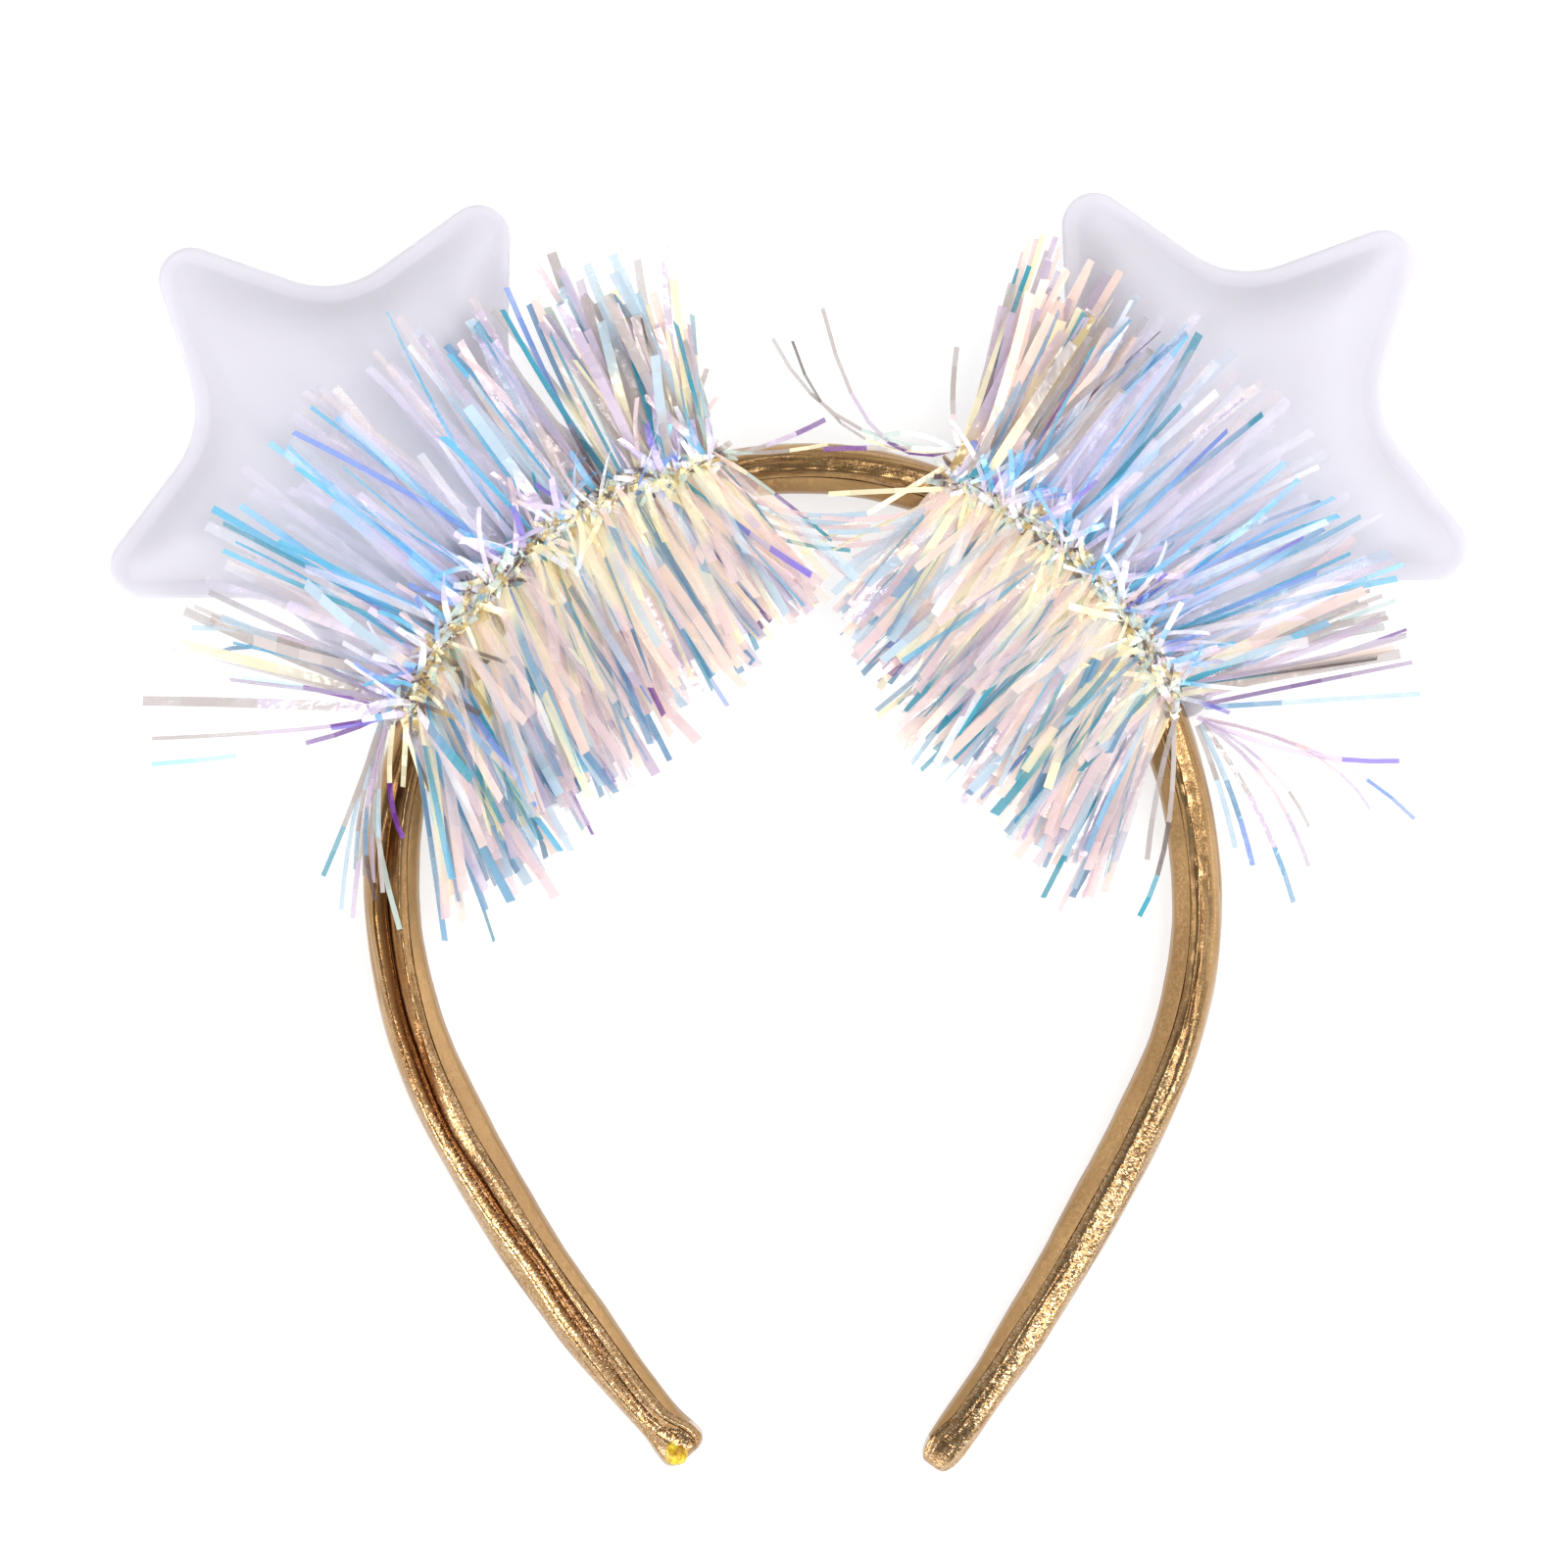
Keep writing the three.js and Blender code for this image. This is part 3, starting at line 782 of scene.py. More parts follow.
def inflate(outline):
    """Grid of heights, 0 at an outline and 1 well inside it, as pressure lifts a stretched skin."""
    reach = np.abs(outline).max() + 3 * STAR_CELL
    axis = np.arange(-reach, reach, STAR_CELL)
    x, y = np.meshgrid(axis, axis, indexing="ij")
    inside = is_inside(outline, x, y)[1:-1, 1:-1]
    height = np.zeros_like(x)
    pull = (STAR_CELL / STAR_SOFTNESS) ** 2
    height[1:-1, 1:-1][inside] = 0.8
    for _ in range(STAR_ROUNDS):
        around = height[:-2, 1:-1] + height[2:, 1:-1] + height[1:-1, :-2] + height[1:-1, 2:]
        height[1:-1, 1:-1] = np.where(inside, (around + pull) / (4 + pull), 0)
    height /= height.max()
    return axis, 0.5 * height + 0.5 * smoothstep(height, 0, 1)


def sample_grid(axis, grid, points):
    """Heights of a grid at plan points, between its cells."""
    place = (points - axis[0]) / STAR_CELL
    low = np.clip(place.astype(int), 0, len(axis) - 2)
    share = place - low
    i, j = low[..., 0], low[..., 1]
    u, v = share[..., 0], share[..., 1]
    near = grid[i, j] * (1 - u) + grid[i + 1, j] * u
    far = grid[i, j + 1] * (1 - u) + grid[i + 1, j + 1] * u
    return near * (1 - v) + far * v


def star_rings():
    """Rings of one half shell from the top of its dome to the top of its hollow."""
    def ring(outline, height):
        return np.concatenate((outline, np.full((len(outline), 1), height)), axis=1)

    dome_foot = star_outline(STAR_RIM)
    hollow_foot = star_outline(STAR_RIM + STAR_WALL)
    axis, grid = inflate(dome_foot)
    rows = []
    for size in STAR_DOME_SIZES:
        flat = ring(dome_foot * size, STAR_RIM_THICK)
        flat[:, 2] += STAR_DOME * sample_grid(axis, grid, dome_foot * size) * (size < 1)
        rows.append(flat)
    rows += [ring(star_outline(inset), height) for inset, height in STAR_RIM_ROWS]
    hollow_top = STAR_RIM_THICK + STAR_DOME - STAR_WALL
    for size in STAR_DOME_SIZES[::-2]:
        flat = ring(hollow_foot * size, 0)
        flat[:, 2] += hollow_top * sample_grid(axis, grid, hollow_foot * size) * (size < 1)
        rows.append(flat)
    return np.array(rows)


def make_shell(side, facing, material, band_room):
    star = STARS[side]
    rings = star_rings()
    if facing == "back":
        rings = rings * (1, -1, -1)
    turn = math.radians(star["tip_angle"])
    x, y = rings[:, :, 0].copy(), rings[:, :, 1].copy()
    rings[:, :, 0] = x * math.cos(turn) - y * math.sin(turn) + star["place"][0]
    rings[:, :, 1] = x * math.sin(turn) + y * math.cos(turn) + star["place"][1]
    rings[:, :, 2] += STAR_MIDDLE_Z + (GAP / 2 if facing == "front" else -GAP / 2)
    piece = closed_loft(f"star_{side}_{facing}_shell", rings, material)
    cut(piece, band_room)
    return piece


def make_glue(material, band_room):
    """Lumpy drop, what is left of a ball outside the left tip."""
    polar = np.linspace(0.05, math.pi - 0.05, GLUE_ROWS)[:, None]
    around = np.linspace(0, 2 * math.pi, GLUE_SIDES, endpoint=False)[None, :]
    lump = 0.96 + ripple(polar, around, "glue", 51)
    ball = np.stack((np.sin(polar) * np.cos(around), np.sin(polar) * np.sin(around),
                     np.cos(polar) * np.ones_like(around)), axis=2)
    rings = GLUE_RADIUS * lump[:, :, None] * ball + GLUE_PLACE
    piece = closed_loft("glue_drop_lump", rings, material)
    cut(piece, band_room)
    return piece


# Tinsel

# Fans of strips. strips: how many, left and right. facing: out of the hoop (1) or into it (-1). lift: least and
# most rise from the floor's plane. length, splay (lean to the crown) and tipped_share: left and right, at the
# crown end, middle and foot end. span: which share of the garland, or all. near, far: how strips that face up
# look at their roots and at their ends, and how much they cover there. tipped: how strips on edge look.
FANS = (
    {"strips": (104, 124), "facing": 1, "lift": (5, 19), "length": ((31, 36, 35), (34, 36, 35)),
     "splay": ((-6, -1, -6), (-3, -1, -6)), "tipped_share": ((0.4, 0.32, 0.34), (0.42, 0.38, 0.4)),
     "tipped": "cool_tipped", "near": ("cool_flat", 0.22), "far": ("cool_flat", 0.2)},
    {"strips": (20, 26), "facing": 1, "lift": (22, 60), "length": ((29, 29, 29), (30, 29, 29)),
     "splay": ((0, 0, -14), (0, 0, -14)), "tipped_share": ((0.4, 0.26, 0.26), (0.4, 0.3, 0.3)),
     "tipped": "cool_tipped", "near": ("cool_flat", 0.3), "far": ("cool_flat", 0.4)},
    {"strips": (46, 46), "span": (0, 0.2), "facing": 1, "lift": (6, 26),
     "length": ((24, 27, 26), (31, 29, 26)), "splay": ((-6, -6, -6), (-5, -6, -6)),
     "tipped_share": ((0.24, 0.24, 0.24), (0.24, 0.24, 0.24)),
     "tipped": "edge_tipped", "near": ("cool_flat", 0.3), "far": ("cool_flat", 0.3)},
    {"strips": (40, 44), "facing": -1, "lift": (22, 55), "length": ((22, 28, 26), (22, 28, 26)),
     "splay": ((24, -14, -30), (14, 0, -26)), "tipped_share": ((0.15, 0.2, 0.3), (0.15, 0.24, 0.3)),
     "tipped": "warm_tipped", "near": ("warm_near", 0.45), "far": ("warm_far", 0.6)},
    {"strips": (270, 260), "facing": -1, "lift": (3, 18), "length": ((25, 35.5, 33), (25, 35.5, 33)),
     "splay": ((28, -15, -45), (16, -2, -40)), "tipped_share": ((0.24, 0.36, 0.44), (0.24, 0.42, 0.46)),
     "tipped": "warm_tipped", "near": ("warm_near", 0.42), "far": ("warm_far", 0.74)},
)
# Where the outer strips pass the star, as shares of the garland: beyond, they look greyer and cover more
STAR_SIDE = {"left": ((0.27, 0.46), (0.86, 0.97)), "right": ((0.12, 0.27), (0.88, 0.97))}
EDGE_COVER = 0.55
# Single strips that stray from the fans: three plan points, and colours near the core, midway and at the end
STRAYS = {
    "left": """
    -10.4 57.0 -2.2 59.4 5.6 62.9 taupe mauve purple
    -8.8 56.5 -1.0 50.8 6.6 44.5 mint purple teal
    -15.7 61.5 -14.0 66.0 -12.4 70.7 taupe taupe taupe
    -14.2 62.0 -12.4 64.3 -10.7 66.5 purple rose rose
    -13.0 58.6 -4.0 57.9 6.0 59.2 mint taupe cream
    -62.9 19.7 -76.0 22.6 -94.1 25.0 purple mist lilac
    -62.3 17.7 -75.8 13.2 -96.8 10.5 purple rose sky
    -62.0 18.2 -72.0 16.0 -96.8 14.4 purple mauve taupe
    -62.0 21.0 -74.0 29.0 -90.7 31.2 mist lilac mist
    -62.0 20.5 -76.5 27.6 -87.4 27.3 mauve mist steel
    -61.5 18.3 -65.5 6.5 -70.7 -6.5 taupe taupe teal
    -61.9 17.3 -65.9 3.4 -68.0 -11.6 taupe mist mist
    -61.3 16.5 -64.4 2.0 -66.2 -12.9 mauve taupe mauve
    -61.5 15.9 -63.0 4.0 -59.1 -14.6 taupe mint mint
    -61.8 16.6 -64.8 5.0 -65.8 -5.5 mist taupe mist
    -61.6 16.4 -63.9 5.5 -64.4 -6.5 taupe rose taupe
    -61.4 16.2 -63.2 5.0 -63.0 -7.5 mauve taupe mauve
    -61.2 16.0 -62.3 5.0 -61.6 -9.0 taupe mist taupe
    -61.3 15.5 -64.2 2.0 -62.7 -10.2 mauve steel umber
    -60.2 16.5 -60.6 6.4 -58.6 -0.7 cream purple purple
    -59.0 18.0 -54.7 4.7 -49.6 -11.3 cream mist steel
    -12.6 58.4 -3.0 49.8 12.0 48.6 rose rose mist
    -13.4 57.8 -3.5 48.6 12.5 46.6 peach rose rose
    -14.0 57.6 -5.0 47.8 11.0 44.6 rose rose rose
    -12.9 58.1 -3.2 49.0 10.0 47.6 taupe mist mist
    -14.6 57.4 -6.0 47.0 9.4 43.0 peach rose teal
    """,
    "right": """
    29.3 58.0 17.0 58.6 5.3 58.4 silver taupe purple
    30.8 52.6 18.0 52.2 6.1 51.6 cream cream cream
    25.6 56.8 13.0 49.2 1.1 41.9 cream cream cream
    28.4 53.4 17.0 48.3 6.5 42.9 cream cream cream
    26.0 58.6 13.6 60.9 5.2 79.8 purple mauve taupe
    26.4 58.5 9.0 62.5 -2.4 75.2 mint taupe taupe
    26.4 58.3 9.8 61.0 0.6 74.8 cream taupe umber
    26.0 59.0 25.0 64.8 25.6 74.0 rose taupe taupe
    27.0 57.0 20.0 60.6 13.0 60.0 silver silver mint
    63.1 19.6 78.8 22.8 94.9 26.0 purple purple mauve
    63.6 20.8 78.8 25.6 94.0 31.0 mauve rose purple
    63.4 19.2 77.3 20.0 96.0 21.2 steel mist mist
    62.2 17.7 77.6 12.3 92.8 11.0 mauve mauve violet
    62.4 17.6 79.0 12.4 88.3 3.7 mauve rose mauve
    62.6 17.5 81.5 11.8 95.2 2.2 rose lilac blue
    62.6 16.6 67.2 6.5 70.6 -4.9 mist steel blue
    62.2 16.4 65.6 6.8 67.9 -2.2 taupe mist mist
    62.9 16.8 71.2 3.8 76.8 -10.5 taupe mauve steel
    63.0 16.9 72.6 8.0 79.1 -5.0 mauve rose mauve
    63.2 17.1 73.0 10.0 79.1 1.0 mauve rose taupe
    58.7 17.2 57.5 -0.5 53.3 -12.6 taupe umber teal
    59.0 17.7 56.2 7.0 54.5 -4.0 taupe taupe taupe
    31.0 55.0 19.0 48.8 5.0 48.0 peach rose rose
    31.6 54.6 19.6 47.6 6.0 45.8 cream rose mist
    32.2 54.2 20.4 46.4 7.6 43.6 peach rose rose
    27.0 59.5 30.7 72.6 35.0 85.8 taupe teal teal
    27.3 59.4 31.6 74.4 35.8 88.4 taupe mauve rose
    27.6 59.3 31.9 72.8 36.6 86.2 mauve steel teal
    27.9 59.2 32.4 74.5 36.8 90.9 taupe rose peach
    28.3 59.0 33.0 74.0 37.8 90.4 steel taupe rose
    28.6 58.9 33.6 74.4 38.7 91.0 mauve rose cream
    28.9 58.7 34.1 73.6 39.4 88.6 taupe mauve taupe
    29.2 58.6 34.8 74.2 40.6 90.6 taupe rose mauve
    29.5 58.4 34.7 71.0 39.9 82.6 mauve peach taupe
    29.8 58.3 35.6 73.2 41.4 89.4 taupe taupe peach
    30.0 58.2 35.5 72.1 41.3 83.6 taupe cream cream
    30.3 58.0 36.0 71.0 41.2 81.6 taupe umber taupe
    30.6 57.8 36.6 70.0 41.7 79.4 mauve taupe umber
    28.1 59.1 32.2 70.6 36.2 80.6 taupe mauve mauve
    29.0 58.6 33.8 70.2 38.4 79.8 cream taupe rose
    62.0 22.0 76.0 31.3 88.4 36.9 steel teal taupe
    62.3 21.6 77.0 30.3 90.2 36.1 teal teal taupe
    62.5 21.4 77.5 29.4 92.2 35.4 sky taupe mint
    62.8 21.2 78.0 28.2 91.2 32.8 peach taupe taupe
    62.2 21.8 76.5 30.7 86.6 35.2 umber taupe taupe
    """,
}
# How often each colour shows
COLOUR_SHARES = {
    "cool_flat": {"lilac": 46, "silver": 16, "rose": 18, "peach": 12, "sky": 5, "mist": 3},
    "cool_tipped": {"teal": 10, "cyan": 40, "sky": 28, "blue": 9, "violet": 4, "silver": 8, "steel": 4,
                    "purple": 1},
    "edge_flat_left": {"taupe": 48, "mauve": 18, "mist": 10, "rose": 12, "peach": 8, "cream": 6},
    "edge_flat_right": {"taupe": 46, "peach": 26, "rose": 12, "cream": 12, "mauve": 6, "band_gold_reflection": 6},
    "edge_tipped": {"teal": 26, "steel": 18, "cyan": 4, "taupe": 20, "cream": 12, "mauve": 10, "umber": 8,
                    "blue": 2, "mint": 4},
    "warm_near": {"cream": 34, "peach": 40, "silver": 10, "rose": 10, "mint": 6},
    "warm_far": {"rose": 38, "peach": 28, "mist": 16, "mauve": 10, "cream": 6, "silver": 2},
    "warm_tipped": {"teal": 20, "steel": 34, "blue": 3, "cyan": 12, "mist": 12, "cream": 12, "violet": 2,
                    "mauve": 4, "purple": 1},
    "root": {"cream": 55, "peach": 18, "silver": 14, "mint": 5, "band_gold_reflection": 8},
    "bits": {"lilac": 24, "silver": 30, "sky": 14, "cyan": 10, "violet": 6, "rose": 8, "blue": 6, "teal": 2},
    "core": {"silver": 20, "mint": 20, "cream": 20, "band_gold_reflection": 16, "steel": 6, "taupe": 12, "umber": 14,
             "rose": 2},
    "core_foot": {"band_gold_reflection": 34, "umber": 22, "taupe": 18, "cream": 14, "mint": 12},
}
SPLAY_SPREAD = 8
SPLAY_LIMIT = 13
LENGTH_SPREAD = 0.09
LENGTH_LIMITS = (0.7, 1.16)
WIDTH_SPREAD = (0.8, 1.15)
# Scatter of the roots about the core, and the strips' bends sideways and upwards as shares of their length
ROOT_SPREAD = 0.45
BEND_SPREAD = (0.05, 0.03)
BEND_LIMITS = (-0.03, 0.06)
# Roll of the strips about their length and their twist along it, in degrees
FLAT_ROLL = 16
TIPPED_ROLL = (44, 70)
FLAT_TWIST = 26
TIPPED_TWIST = 14
# Cover of strips on edge, and the least of any strip
TIPPED_COVER = (0.72, 1.0)
COVER_LEAST = 0.06
# Share of the inner strips on edge that look like the roots
GILDED = 0.5
# Share of the segments that show a colour of their own. Where a strip changes colour, and how far it takes
DASHES = 0.02
HUE_CHANGE = (0.2, 0.8)
HUE_TURN = 0.13
HUE_SPREAD = 0.004
# Chance in the cover of a strip, and of each of its segments
COVER_SPREAD = (0.7, 1.3)
SEGMENT_COVER = (0.85, 1.1)


def pick_hues(rng, colours, count):
    shares = COLOUR_SHARES[colours]
    names = list(shares)
    weight = np.array([shares[name] for name in names], float)
    picked = rng.choice(len(names), size=count, p=weight / weight.sum())
    return np.array([FILM_HUES[name] for name in names])[picked] + rng.normal(0, HUE_SPREAD, count)


def segment_hues(rng, near, far, count):
    """For each segment the hue that its strip turns from, the hue it turns to, and where. Dashes differ."""
    change = rng.uniform(*HUE_CHANGE, count)
    strip = np.stack((pick_hues(rng, near, count), pick_hues(rng, far, count), change), axis=1)
    hue = np.repeat(strip[:, None, :], STRIP_SEGMENTS, axis=1)
    dash = pick_hues(rng, far, (count, STRIP_SEGMENTS))
    is_dash = rng.uniform(0, 1, dash.shape) < DASHES
    hue[is_dash, :2] = dash[is_dash][:, None]
    return hue


def level_across(direction):
    """Unit vectors in the floor's plane, square to directions."""
    level = np.cross((0, 0, 1), direction)
    return level / np.linalg.norm(level, axis=1, keepdims=True)


def strip_arrays(root, direction, length, width, bend, roll, twist):
    """Points of flat strips, n x steps x 2 edges, from their roots, directions and curls."""
    t = np.linspace(0, 1, STRIP_SEGMENTS + 1)[None, :, None]
    level = level_across(direction)
    over = np.cross(direction, level)
    length = length[:, None, None]
    path = root[:, None, :] + length * t * direction[:, None, :]
    for share, way in zip(bend.T, (level, over)):
        path = path + length * t ** 2 * (share[:, None, None] * way[:, None, :])
    turn = roll[:, None, None] + twist[:, None, None] * t
    edge = np.cos(turn) * level[:, None, :] + np.sin(turn) * over[:, None, :]
    half = width[:, None, None] / 2 * (0.75 + 0.25 * smoothstep(t, 0.0, 0.2))
    return np.stack((path - half * edge, path + half * edge), axis=2)


def garland_at(side, share):
    """Points over the hoop at shares of a garland, with directions out of the hoop and towards the crown."""
    start, end = GARLANDS[side]
    return hoop_at(start + share * (end - start))


def lifted(direction, lift):
    """Level directions raised by angles."""
    direction = np.cos(lift) * direction
    direction[:, 2:] = np.sin(lift)
    return direction


def fan_strips(rng, side, fan):
    """Strips of one fan, with the hue and the cover of each of their segments."""
    which = list(GARLANDS).index(side)
    count = fan["strips"][which]
    low, high = fan.get("span", (0, 1))
    share = low + (high - low) * (np.arange(count) + rng.uniform(0, 1, count)) / count
    point, outward, crownward = garland_at(side, share)
    root = point + CORE_OUT * outward + rng.normal(0, ROOT_SPREAD, (count, 3))
    root[:, 2] += CORE_Z - 0.3
    thirds = (0, 0.5, 1)
    lean = np.clip(rng.normal(0, SPLAY_SPREAD, count), -SPLAY_LIMIT, SPLAY_LIMIT)
    splay = np.radians(np.interp(share, thirds, fan["splay"][which]) + lean)[:, None]
    lift = np.radians(rng.uniform(*fan["lift"], count))[:, None]
    direction = fan["facing"] * np.cos(splay) * outward + np.sin(splay) * crownward
    direction = lifted(direction, lift)
    length = np.interp(share, thirds, fan["length"][which])
    length = length * (1 + rng.normal(0, LENGTH_SPREAD, count)).clip(*LENGTH_LIMITS)
    width = STRIP_WIDTH * rng.uniform(*WIDTH_SPREAD, count)
    bend = rng.normal(0, BEND_SPREAD, (count, 2))
    bend[:, 1] = np.clip(bend[:, 1], *BEND_LIMITS)
    tipped = rng.uniform(0, 1, count) < np.interp(share, thirds, fan["tipped_share"][which])
    roll = np.where(tipped, rng.uniform(*TIPPED_ROLL, count) * rng.choice((-1, 1), count),
                    rng.normal(0, FLAT_ROLL, count))
    twist = np.where(tipped, rng.normal(0, TIPPED_TWIST, count), rng.normal(0, FLAT_TWIST, count))
    points = strip_arrays(root, direction, length, width, bend, np.radians(roll), np.radians(twist))
    flat_hue = segment_hues(rng, fan["near"][0], fan["far"][0], count)
    # Strips on edge get the deep cyan, teal and blue tints and those facing up the pale ones: the tints are the
    # film's own, and giving them by tilt is painted reflection of the colour the film shows at a slant.
    tipped_hue = segment_hues(rng, fan["tipped"], fan["tipped"], count)
    cover = np.linspace(fan["near"][1], fan["far"][1], STRIP_SEGMENTS) * rng.uniform(*COVER_SPREAD, (count, 1))
    if fan["facing"] > 0:
        crown_end, foot_end = STAR_SIDE[side]
        beyond = 1 - smoothstep(share, *crown_end) + smoothstep(share, *foot_end)
        is_edge = rng.uniform(0, 1, count) < beyond
        flat = f"edge_flat_{side}"
        flat_hue[is_edge] = segment_hues(rng, flat, flat, count)[is_edge]
        tipped_hue[is_edge] = segment_hues(rng, "edge_tipped", "edge_tipped", count)[is_edge]
        cover[is_edge] += EDGE_COVER
    else:
        gilded = rng.uniform(0, 1, count) < GILDED
        tipped_hue[gilded, :2] = segment_hues(rng, "root", "root", count)[gilded, :2]
    tipped_cover = rng.uniform(*TIPPED_COVER, (count, 1))
    cover = np.where(tipped[:, None], tipped_cover, cover)
    cover = cover * rng.uniform(*SEGMENT_COVER, (count, STRIP_SEGMENTS))
    return points, np.where(tipped[:, None, None], tipped_hue, flat_hue), np.clip(cover, COVER_LEAST, 1.0)


def stray_strips(rng, side):
    """Strips on curves through three plan points each, a little above the core."""
    rows = [row.split() for row in STRAYS[side].strip().splitlines()]
    t = np.linspace(0, 1, STRIP_SEGMENTS + 1)
    curve = np.stack(((1 - t) * (1 - 2 * t), 4 * t * (1 - t), t * (2 * t - 1)), axis=1)
    thirds = np.arange(STRIP_SEGMENTS) * 3 // STRIP_SEGMENTS
    above = np.array((0, 0, 1))
    points = []
    hue = []
    for row in rows:
        plan = np.array(row[:6], float).reshape(3, 2)
        height = CORE_Z + STRAY_HEIGHTS + rng.uniform(0, 1) * STRAY_RISE
        path = curve @ np.column_stack((plan, height))
        level = level_across(np.gradient(path, axis=0))
        roll = math.radians(rng.uniform(*STRAY_ROLL)) * rng.choice((-1, 1))
        edge = STRIP_WIDTH * STRAY_HALF_WIDTH * (math.cos(roll) * level + math.sin(roll) * above)
        points.append(np.stack((path - edge, path + edge), axis=1))
        hue.append(np.array([FILM_HUES[name] for name in row[6:]])[thirds])
    hue = np.repeat(np.array(hue)[:, :, None], 3, axis=2)
    return np.array(points), hue, rng.uniform(*STRAY_COVER, (len(rows), STRIP_SEGMENTS))


# Short ends of film near the core: how many, which way they point (0 along the core), lengths, rises, colours
BITS = (
    {"count": 420, "facing": 0, "length": (1.5, 4.0), "lift": (-10, 16), "colours": "core"},
    {"count": 90, "facing": 1, "length": (5, 13), "lift": (4, 28), "colours": "bits"},
    {"count": 44, "facing": -1, "length": (5, 13), "lift": (2, 18), "colours": "root"},
)
# Their places across the core: even within a range where they wrap it, else by a spread. The square of the radius
# on which they lie, what chance adds to their height, and their lean, roll and twist in radians
BIT_RANGE = 1.7
BIT_SPREAD = 0.8
BIT_ROUND = 4.2
BIT_HEIGHT = (-0.6, 0.4)
BIT_LEAN = 0.45
BIT_WIDTH = (0.4, 0.8)
BIT_BEND = 0.2
BIT_ROLL = 1.0
BIT_TWIST = 0.8
BIT_COVER = (0.6, 1.0)
# Shares of the left garland between which the band's gold, painted on its core's bits as the band's reflection,
# begins to show
CORE_FOOT = (0.6, 0.9)


def core_bits(rng, side, bits):
    """Short ends of film that stand out of the twisted core or wrap it."""
    count = bits["count"]
    share = rng.uniform(0, 1, count)
    point, outward, crownward = garland_at(side, share)
    facing = bits["facing"]
    across = rng.uniform(-BIT_RANGE, BIT_RANGE, count) if facing == 0 else rng.normal(0, BIT_SPREAD, count)
    root = point + (CORE_OUT + across)[:, None] * outward
    root[:, 2] += CORE_Z + np.sqrt(np.clip(BIT_ROUND - across ** 2, 0.2, None)) + rng.uniform(*BIT_HEIGHT, count)
    lean = rng.normal(0, BIT_LEAN, count)
    if facing == 0:
        facing = 1
        lean = lean + rng.choice((-1, 1), count) * math.pi / 2
    lift = np.radians(rng.uniform(*bits["lift"], count))[:, None]
    direction = facing * np.cos(lean)[:, None] * outward + np.sin(lean)[:, None] * crownward
    direction = lifted(direction, lift)
    length = rng.uniform(*bits["length"], count)
    width = STRIP_WIDTH * rng.uniform(*BIT_WIDTH, count)
    bend = rng.normal(0, BIT_BEND, (count, 2))
    roll = rng.uniform(-BIT_ROLL, BIT_ROLL, count)
    twist = rng.normal(0, BIT_TWIST, count)
    points = strip_arrays(root, direction, length, width, bend, roll, twist)
    hue = segment_hues(rng, bits["colours"], bits["colours"], count)
    # Towards the left garland's foot, bits take the core_foot colours, with the band's gold painted on them as
    # its reflection.
    if bits["facing"] < 1 and side == "left":
        at_foot = rng.uniform(0, 1, count) < smoothstep(share, *CORE_FOOT)
        hue[at_foot] = segment_hues(rng, "core_foot", "core_foot", count)[at_foot]
    return points, hue, rng.uniform(*BIT_COVER, (count, STRIP_SEGMENTS))


def thicken(points):
    """Corners of thin closed strips, n x steps x 4, round flat ones with two edges."""
    near, far = points[:, :, 0], points[:, :, 1]
    ahead = np.gradient((near + far) / 2, axis=1)
    face = np.cross(far - near, ahead)
    face *= STRIP_THICK / 2 / np.linalg.norm(face, axis=2, keepdims=True)
    return np.stack((near - face, far - face, far + face, near + face), axis=2)


def make_tinsel(side, material):
    rng = np.random.default_rng(TINSEL_SEEDS[side])
    sets = [fan_strips(rng, side, fan) for fan in FANS]
    sets += [core_bits(rng, side, bits) for bits in BITS]
    sets.append(stray_strips(rng, side))
    points, hue, cover = (np.concatenate(arrays) for arrays in zip(*sets))
    points = thicken(points)
    first = 4 * (STRIP_SEGMENTS + 1) * np.arange(len(points))[:, None, None]
    sides = loft_faces(STRIP_SEGMENTS + 1, 4)[None] + first
    last = 4 * STRIP_SEGMENTS
    ends = np.array(((3, 2, 1, 0), (last, last + 1, last + 2, last + 3)))[None] + first
    faces = np.concatenate((sides, ends), axis=1).reshape(-1, 4)
    piece = make_object(f"tinsel_{side}_strips", points, faces, material)
    piece.data.set_sharp_from_angle(angle=math.radians(50))
    segment = np.concatenate((np.repeat(np.arange(STRIP_SEGMENTS), 4), (0, STRIP_SEGMENTS - 1)))
    # A line of sight goes through both faces of a strip
    of_a_face = 1 - np.sqrt(1 - cover)
    for name, values in (("hue", hue[:, :, 0]), ("far_hue", hue[:, :, 1]), ("cover", of_a_face)):
        set_values(piece, name, "FACE", values[:, segment])
    t = np.linspace(0, 1, STRIP_SEGMENTS + 1)[None, :]
    change = hue[:, -1:, 2]
    turned = smoothstep(t, change - HUE_TURN, change + HUE_TURN)
    set_values(piece, "turned", "POINT", np.repeat(turned, 4, axis=1))
    return piece


# Twisted core: its strands, millimetres to a turn, and its mesh
CORE_STRANDS = 3
# A strand's radius as a share of the core's
CORE_STRAND_SIZE = 0.46
CORE_PITCH = 6.0
CORE_STEPS = 260
CORE_THREAD_SIDES = 8


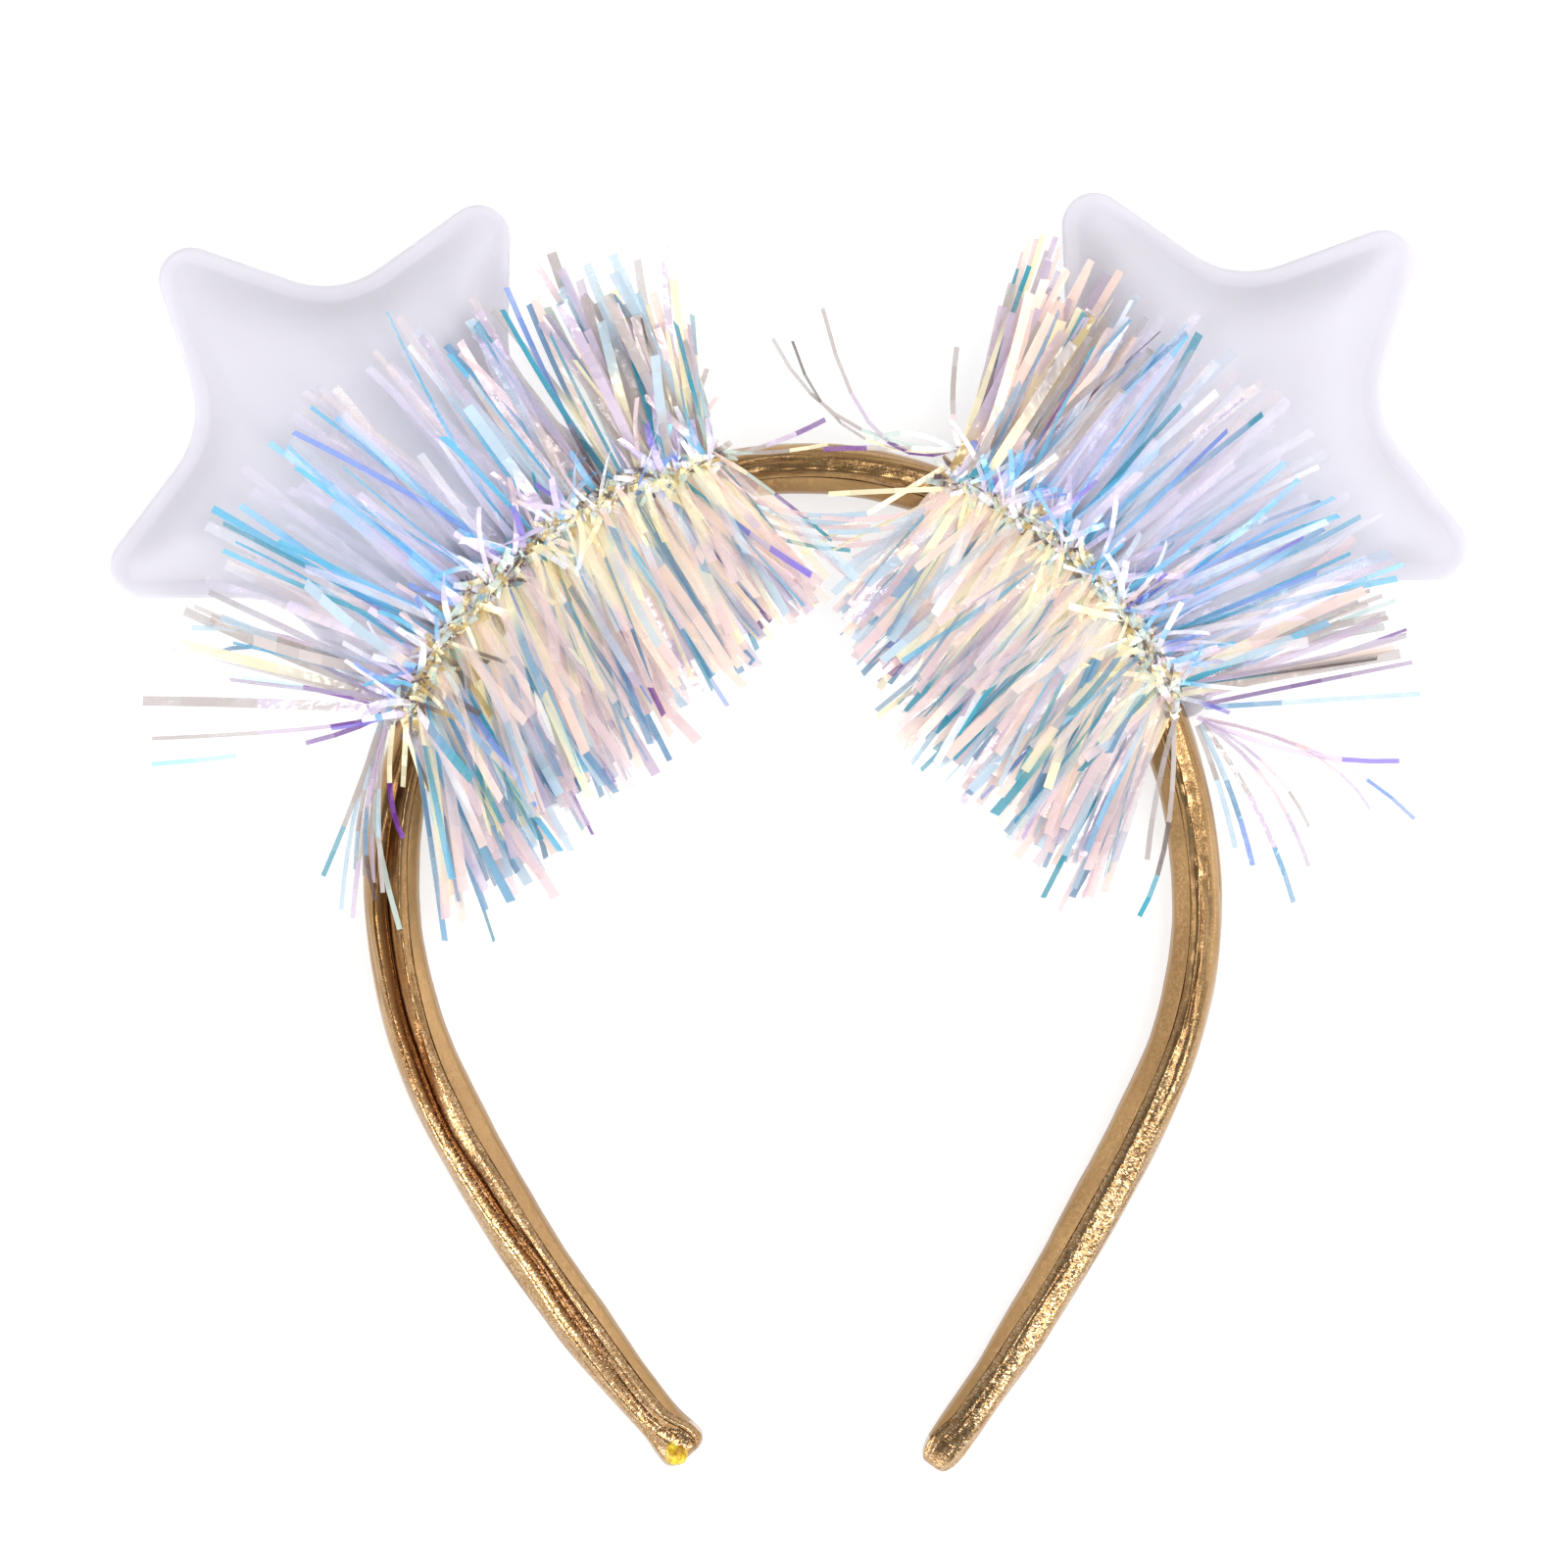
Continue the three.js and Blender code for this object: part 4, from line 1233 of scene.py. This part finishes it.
def make_core(side, material):
    """Twisted strands along the front outer edge of the band."""
    ends = GARLANDS[side]
    along = np.linspace(ends[0], ends[1], CORE_STEPS)
    point, outward, _ = hoop_at(along)
    middle = point + CORE_OUT * outward
    middle[:, 2] = CORE_Z
    up = np.array((0.0, 0.0, 1.0))
    thread = CORE_RADIUS * CORE_STRAND_SIZE
    spread = CORE_RADIUS - thread
    ring_angle = np.linspace(0, 2 * math.pi, CORE_THREAD_SIDES, endpoint=False)
    ring = thread * (np.cos(ring_angle)[None, :, None] * outward[:, None, :]
                     + np.sin(ring_angle)[None, :, None] * up)
    points = []
    faces = []
    for strand in range(CORE_STRANDS):
        turn = 2 * math.pi * (np.abs(along - ends[0]) / CORE_PITCH + strand / CORE_STRANDS)
        centre = middle + spread * (np.cos(turn)[:, None] * outward + np.sin(turn)[:, None] * up)
        points.append((centre[:, None, :] + ring).reshape(-1, 3))
        first = strand * CORE_STEPS * CORE_THREAD_SIDES
        end = np.arange(first, first + CORE_THREAD_SIDES)
        faces += (loft_faces(CORE_STEPS, CORE_THREAD_SIDES) + first).tolist()
        faces += [end[::-1], end + (CORE_STEPS - 1) * CORE_THREAD_SIDES]
    return make_object(f"tinsel_{side}_core", np.concatenate(points), faces, material)


# Stage

def make_floor():
    corners = [(x, y, FLOOR_Z) for x, y in np.array(((-1, -1), (1, -1), (1, 1), (-1, 1))) * FLOOR_HALF]
    mesh = bpy.data.meshes.new("floor")
    mesh.from_pydata(corners, [], [(0, 1, 2, 3)])
    mesh.materials.append(pale_floor())
    floor = add_object("floor", mesh)


def add_softbox(name, place, size, power):
    """Area light that faces the origin."""
    data = bpy.data.lights.new(name, "AREA")
    data.shape = "RECTANGLE"
    data.size, data.size_y = size
    data.energy = power
    lamp = add_object(name, data)
    lamp.location = place
    lamp.rotation_euler = (-lamp.location).to_track_quat("-Z", "Y").to_euler()
    lamp.visible_camera = False


# Softboxes: place in metres, size, power in watts
SOFTBOXES = {
    "key": ((0.583, -0.525, 0.935), (0.22, 1.5), 5.9),
    "left": ((-1.2, -0.32, 0.5), (0.8, 0.9), 3.0),
    "right": ((1.1, 0.2, 0.6), (0.8, 1.6), 3.6),
    "back_right": ((0.518, 0.349, 1.083), (0.24, 1.0), 7.0),
    "ridge": ((-0.690, -0.501, 0.914), (0.27, 0.8), 5.4),
    "front": ((-0.35, -1.15, 0.55), (1.4, 0.6), 4.6),
    "far": ((0.0, 1.0, 0.9), (1.4, 0.6), 1.6),
}
# Brightness of the surroundings by the height of the direction, from the horizon (0) to overhead (1)
SKY = ((0.0, 0.95), (0.3, 0.85), (0.62, 0.24), (1.0, 0.22))


def light_stage():
    for name, box in SOFTBOXES.items():
        add_softbox(name, *box)
    world = bpy.data.worlds.new("studio")
    bpy.context.scene.world = world
    world.use_nodes = True
    tree = world.node_tree
    direction = add_node(tree, "TexCoord").outputs["Generated"]
    height = add_node(tree, "SeparateXYZ", {"Vector": direction}).outputs["Z"]
    sky = add_ramp(tree, height, *((position, (level, level, level, 1.0)) for position, level in SKY))
    fill_inputs(tree, tree.nodes["Background"], {"Color": sky, "Strength": 1.0})


def make_camera():
    data = bpy.data.cameras.new("camera")
    data.sensor_width = SENSOR
    data.lens = SENSOR * CAMERA_HEIGHT / FRAME_WIDTH
    data.clip_end = 20
    camera = add_object("camera", data)
    camera.location = to_metres((*FRAME_MIDDLE, CAMERA_HEIGHT + STAR_MIDDLE_Z))[0]
    bpy.context.scene.camera = camera


def build():
    make_camera()
    light_stage()
    make_floor()
    gold, lining, milky = gold_cloth(), lining_cloth(), milky_plastic()
    film, thread = iridescent_film(), core_thread()
    band_room = make_band_room()
    pieces = [
        (make_cover(gold), "gold_cloth", "band_cover"),
        (make_lining(lining), "lining_cloth", "band_lining"),
        (make_glue(glue(), band_room), "glue", "glue_drop"),
    ]
    for side in STARS:
        for facing in ("front", "back"):
            shell = make_shell(side, facing, milky, band_room)
            pieces.append((shell, "milky_plastic", f"star_{side}_{facing}"))
        pieces.append((make_tinsel(side, film), "iridescent_film", f"tinsel_{side}"))
        pieces.append((make_core(side, thread), "iridescent_film", f"tinsel_{side}"))
    bpy.data.objects.remove(band_room)
    for piece, slot, node in pieces:
        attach(piece, "root")
        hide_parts(node)


build()
bpy.context.scene.view_settings.view_transform = "Standard"
# Enough for a line of sight through all the film of a garland
bpy.context.scene.cycles.transparent_max_bounces = 48
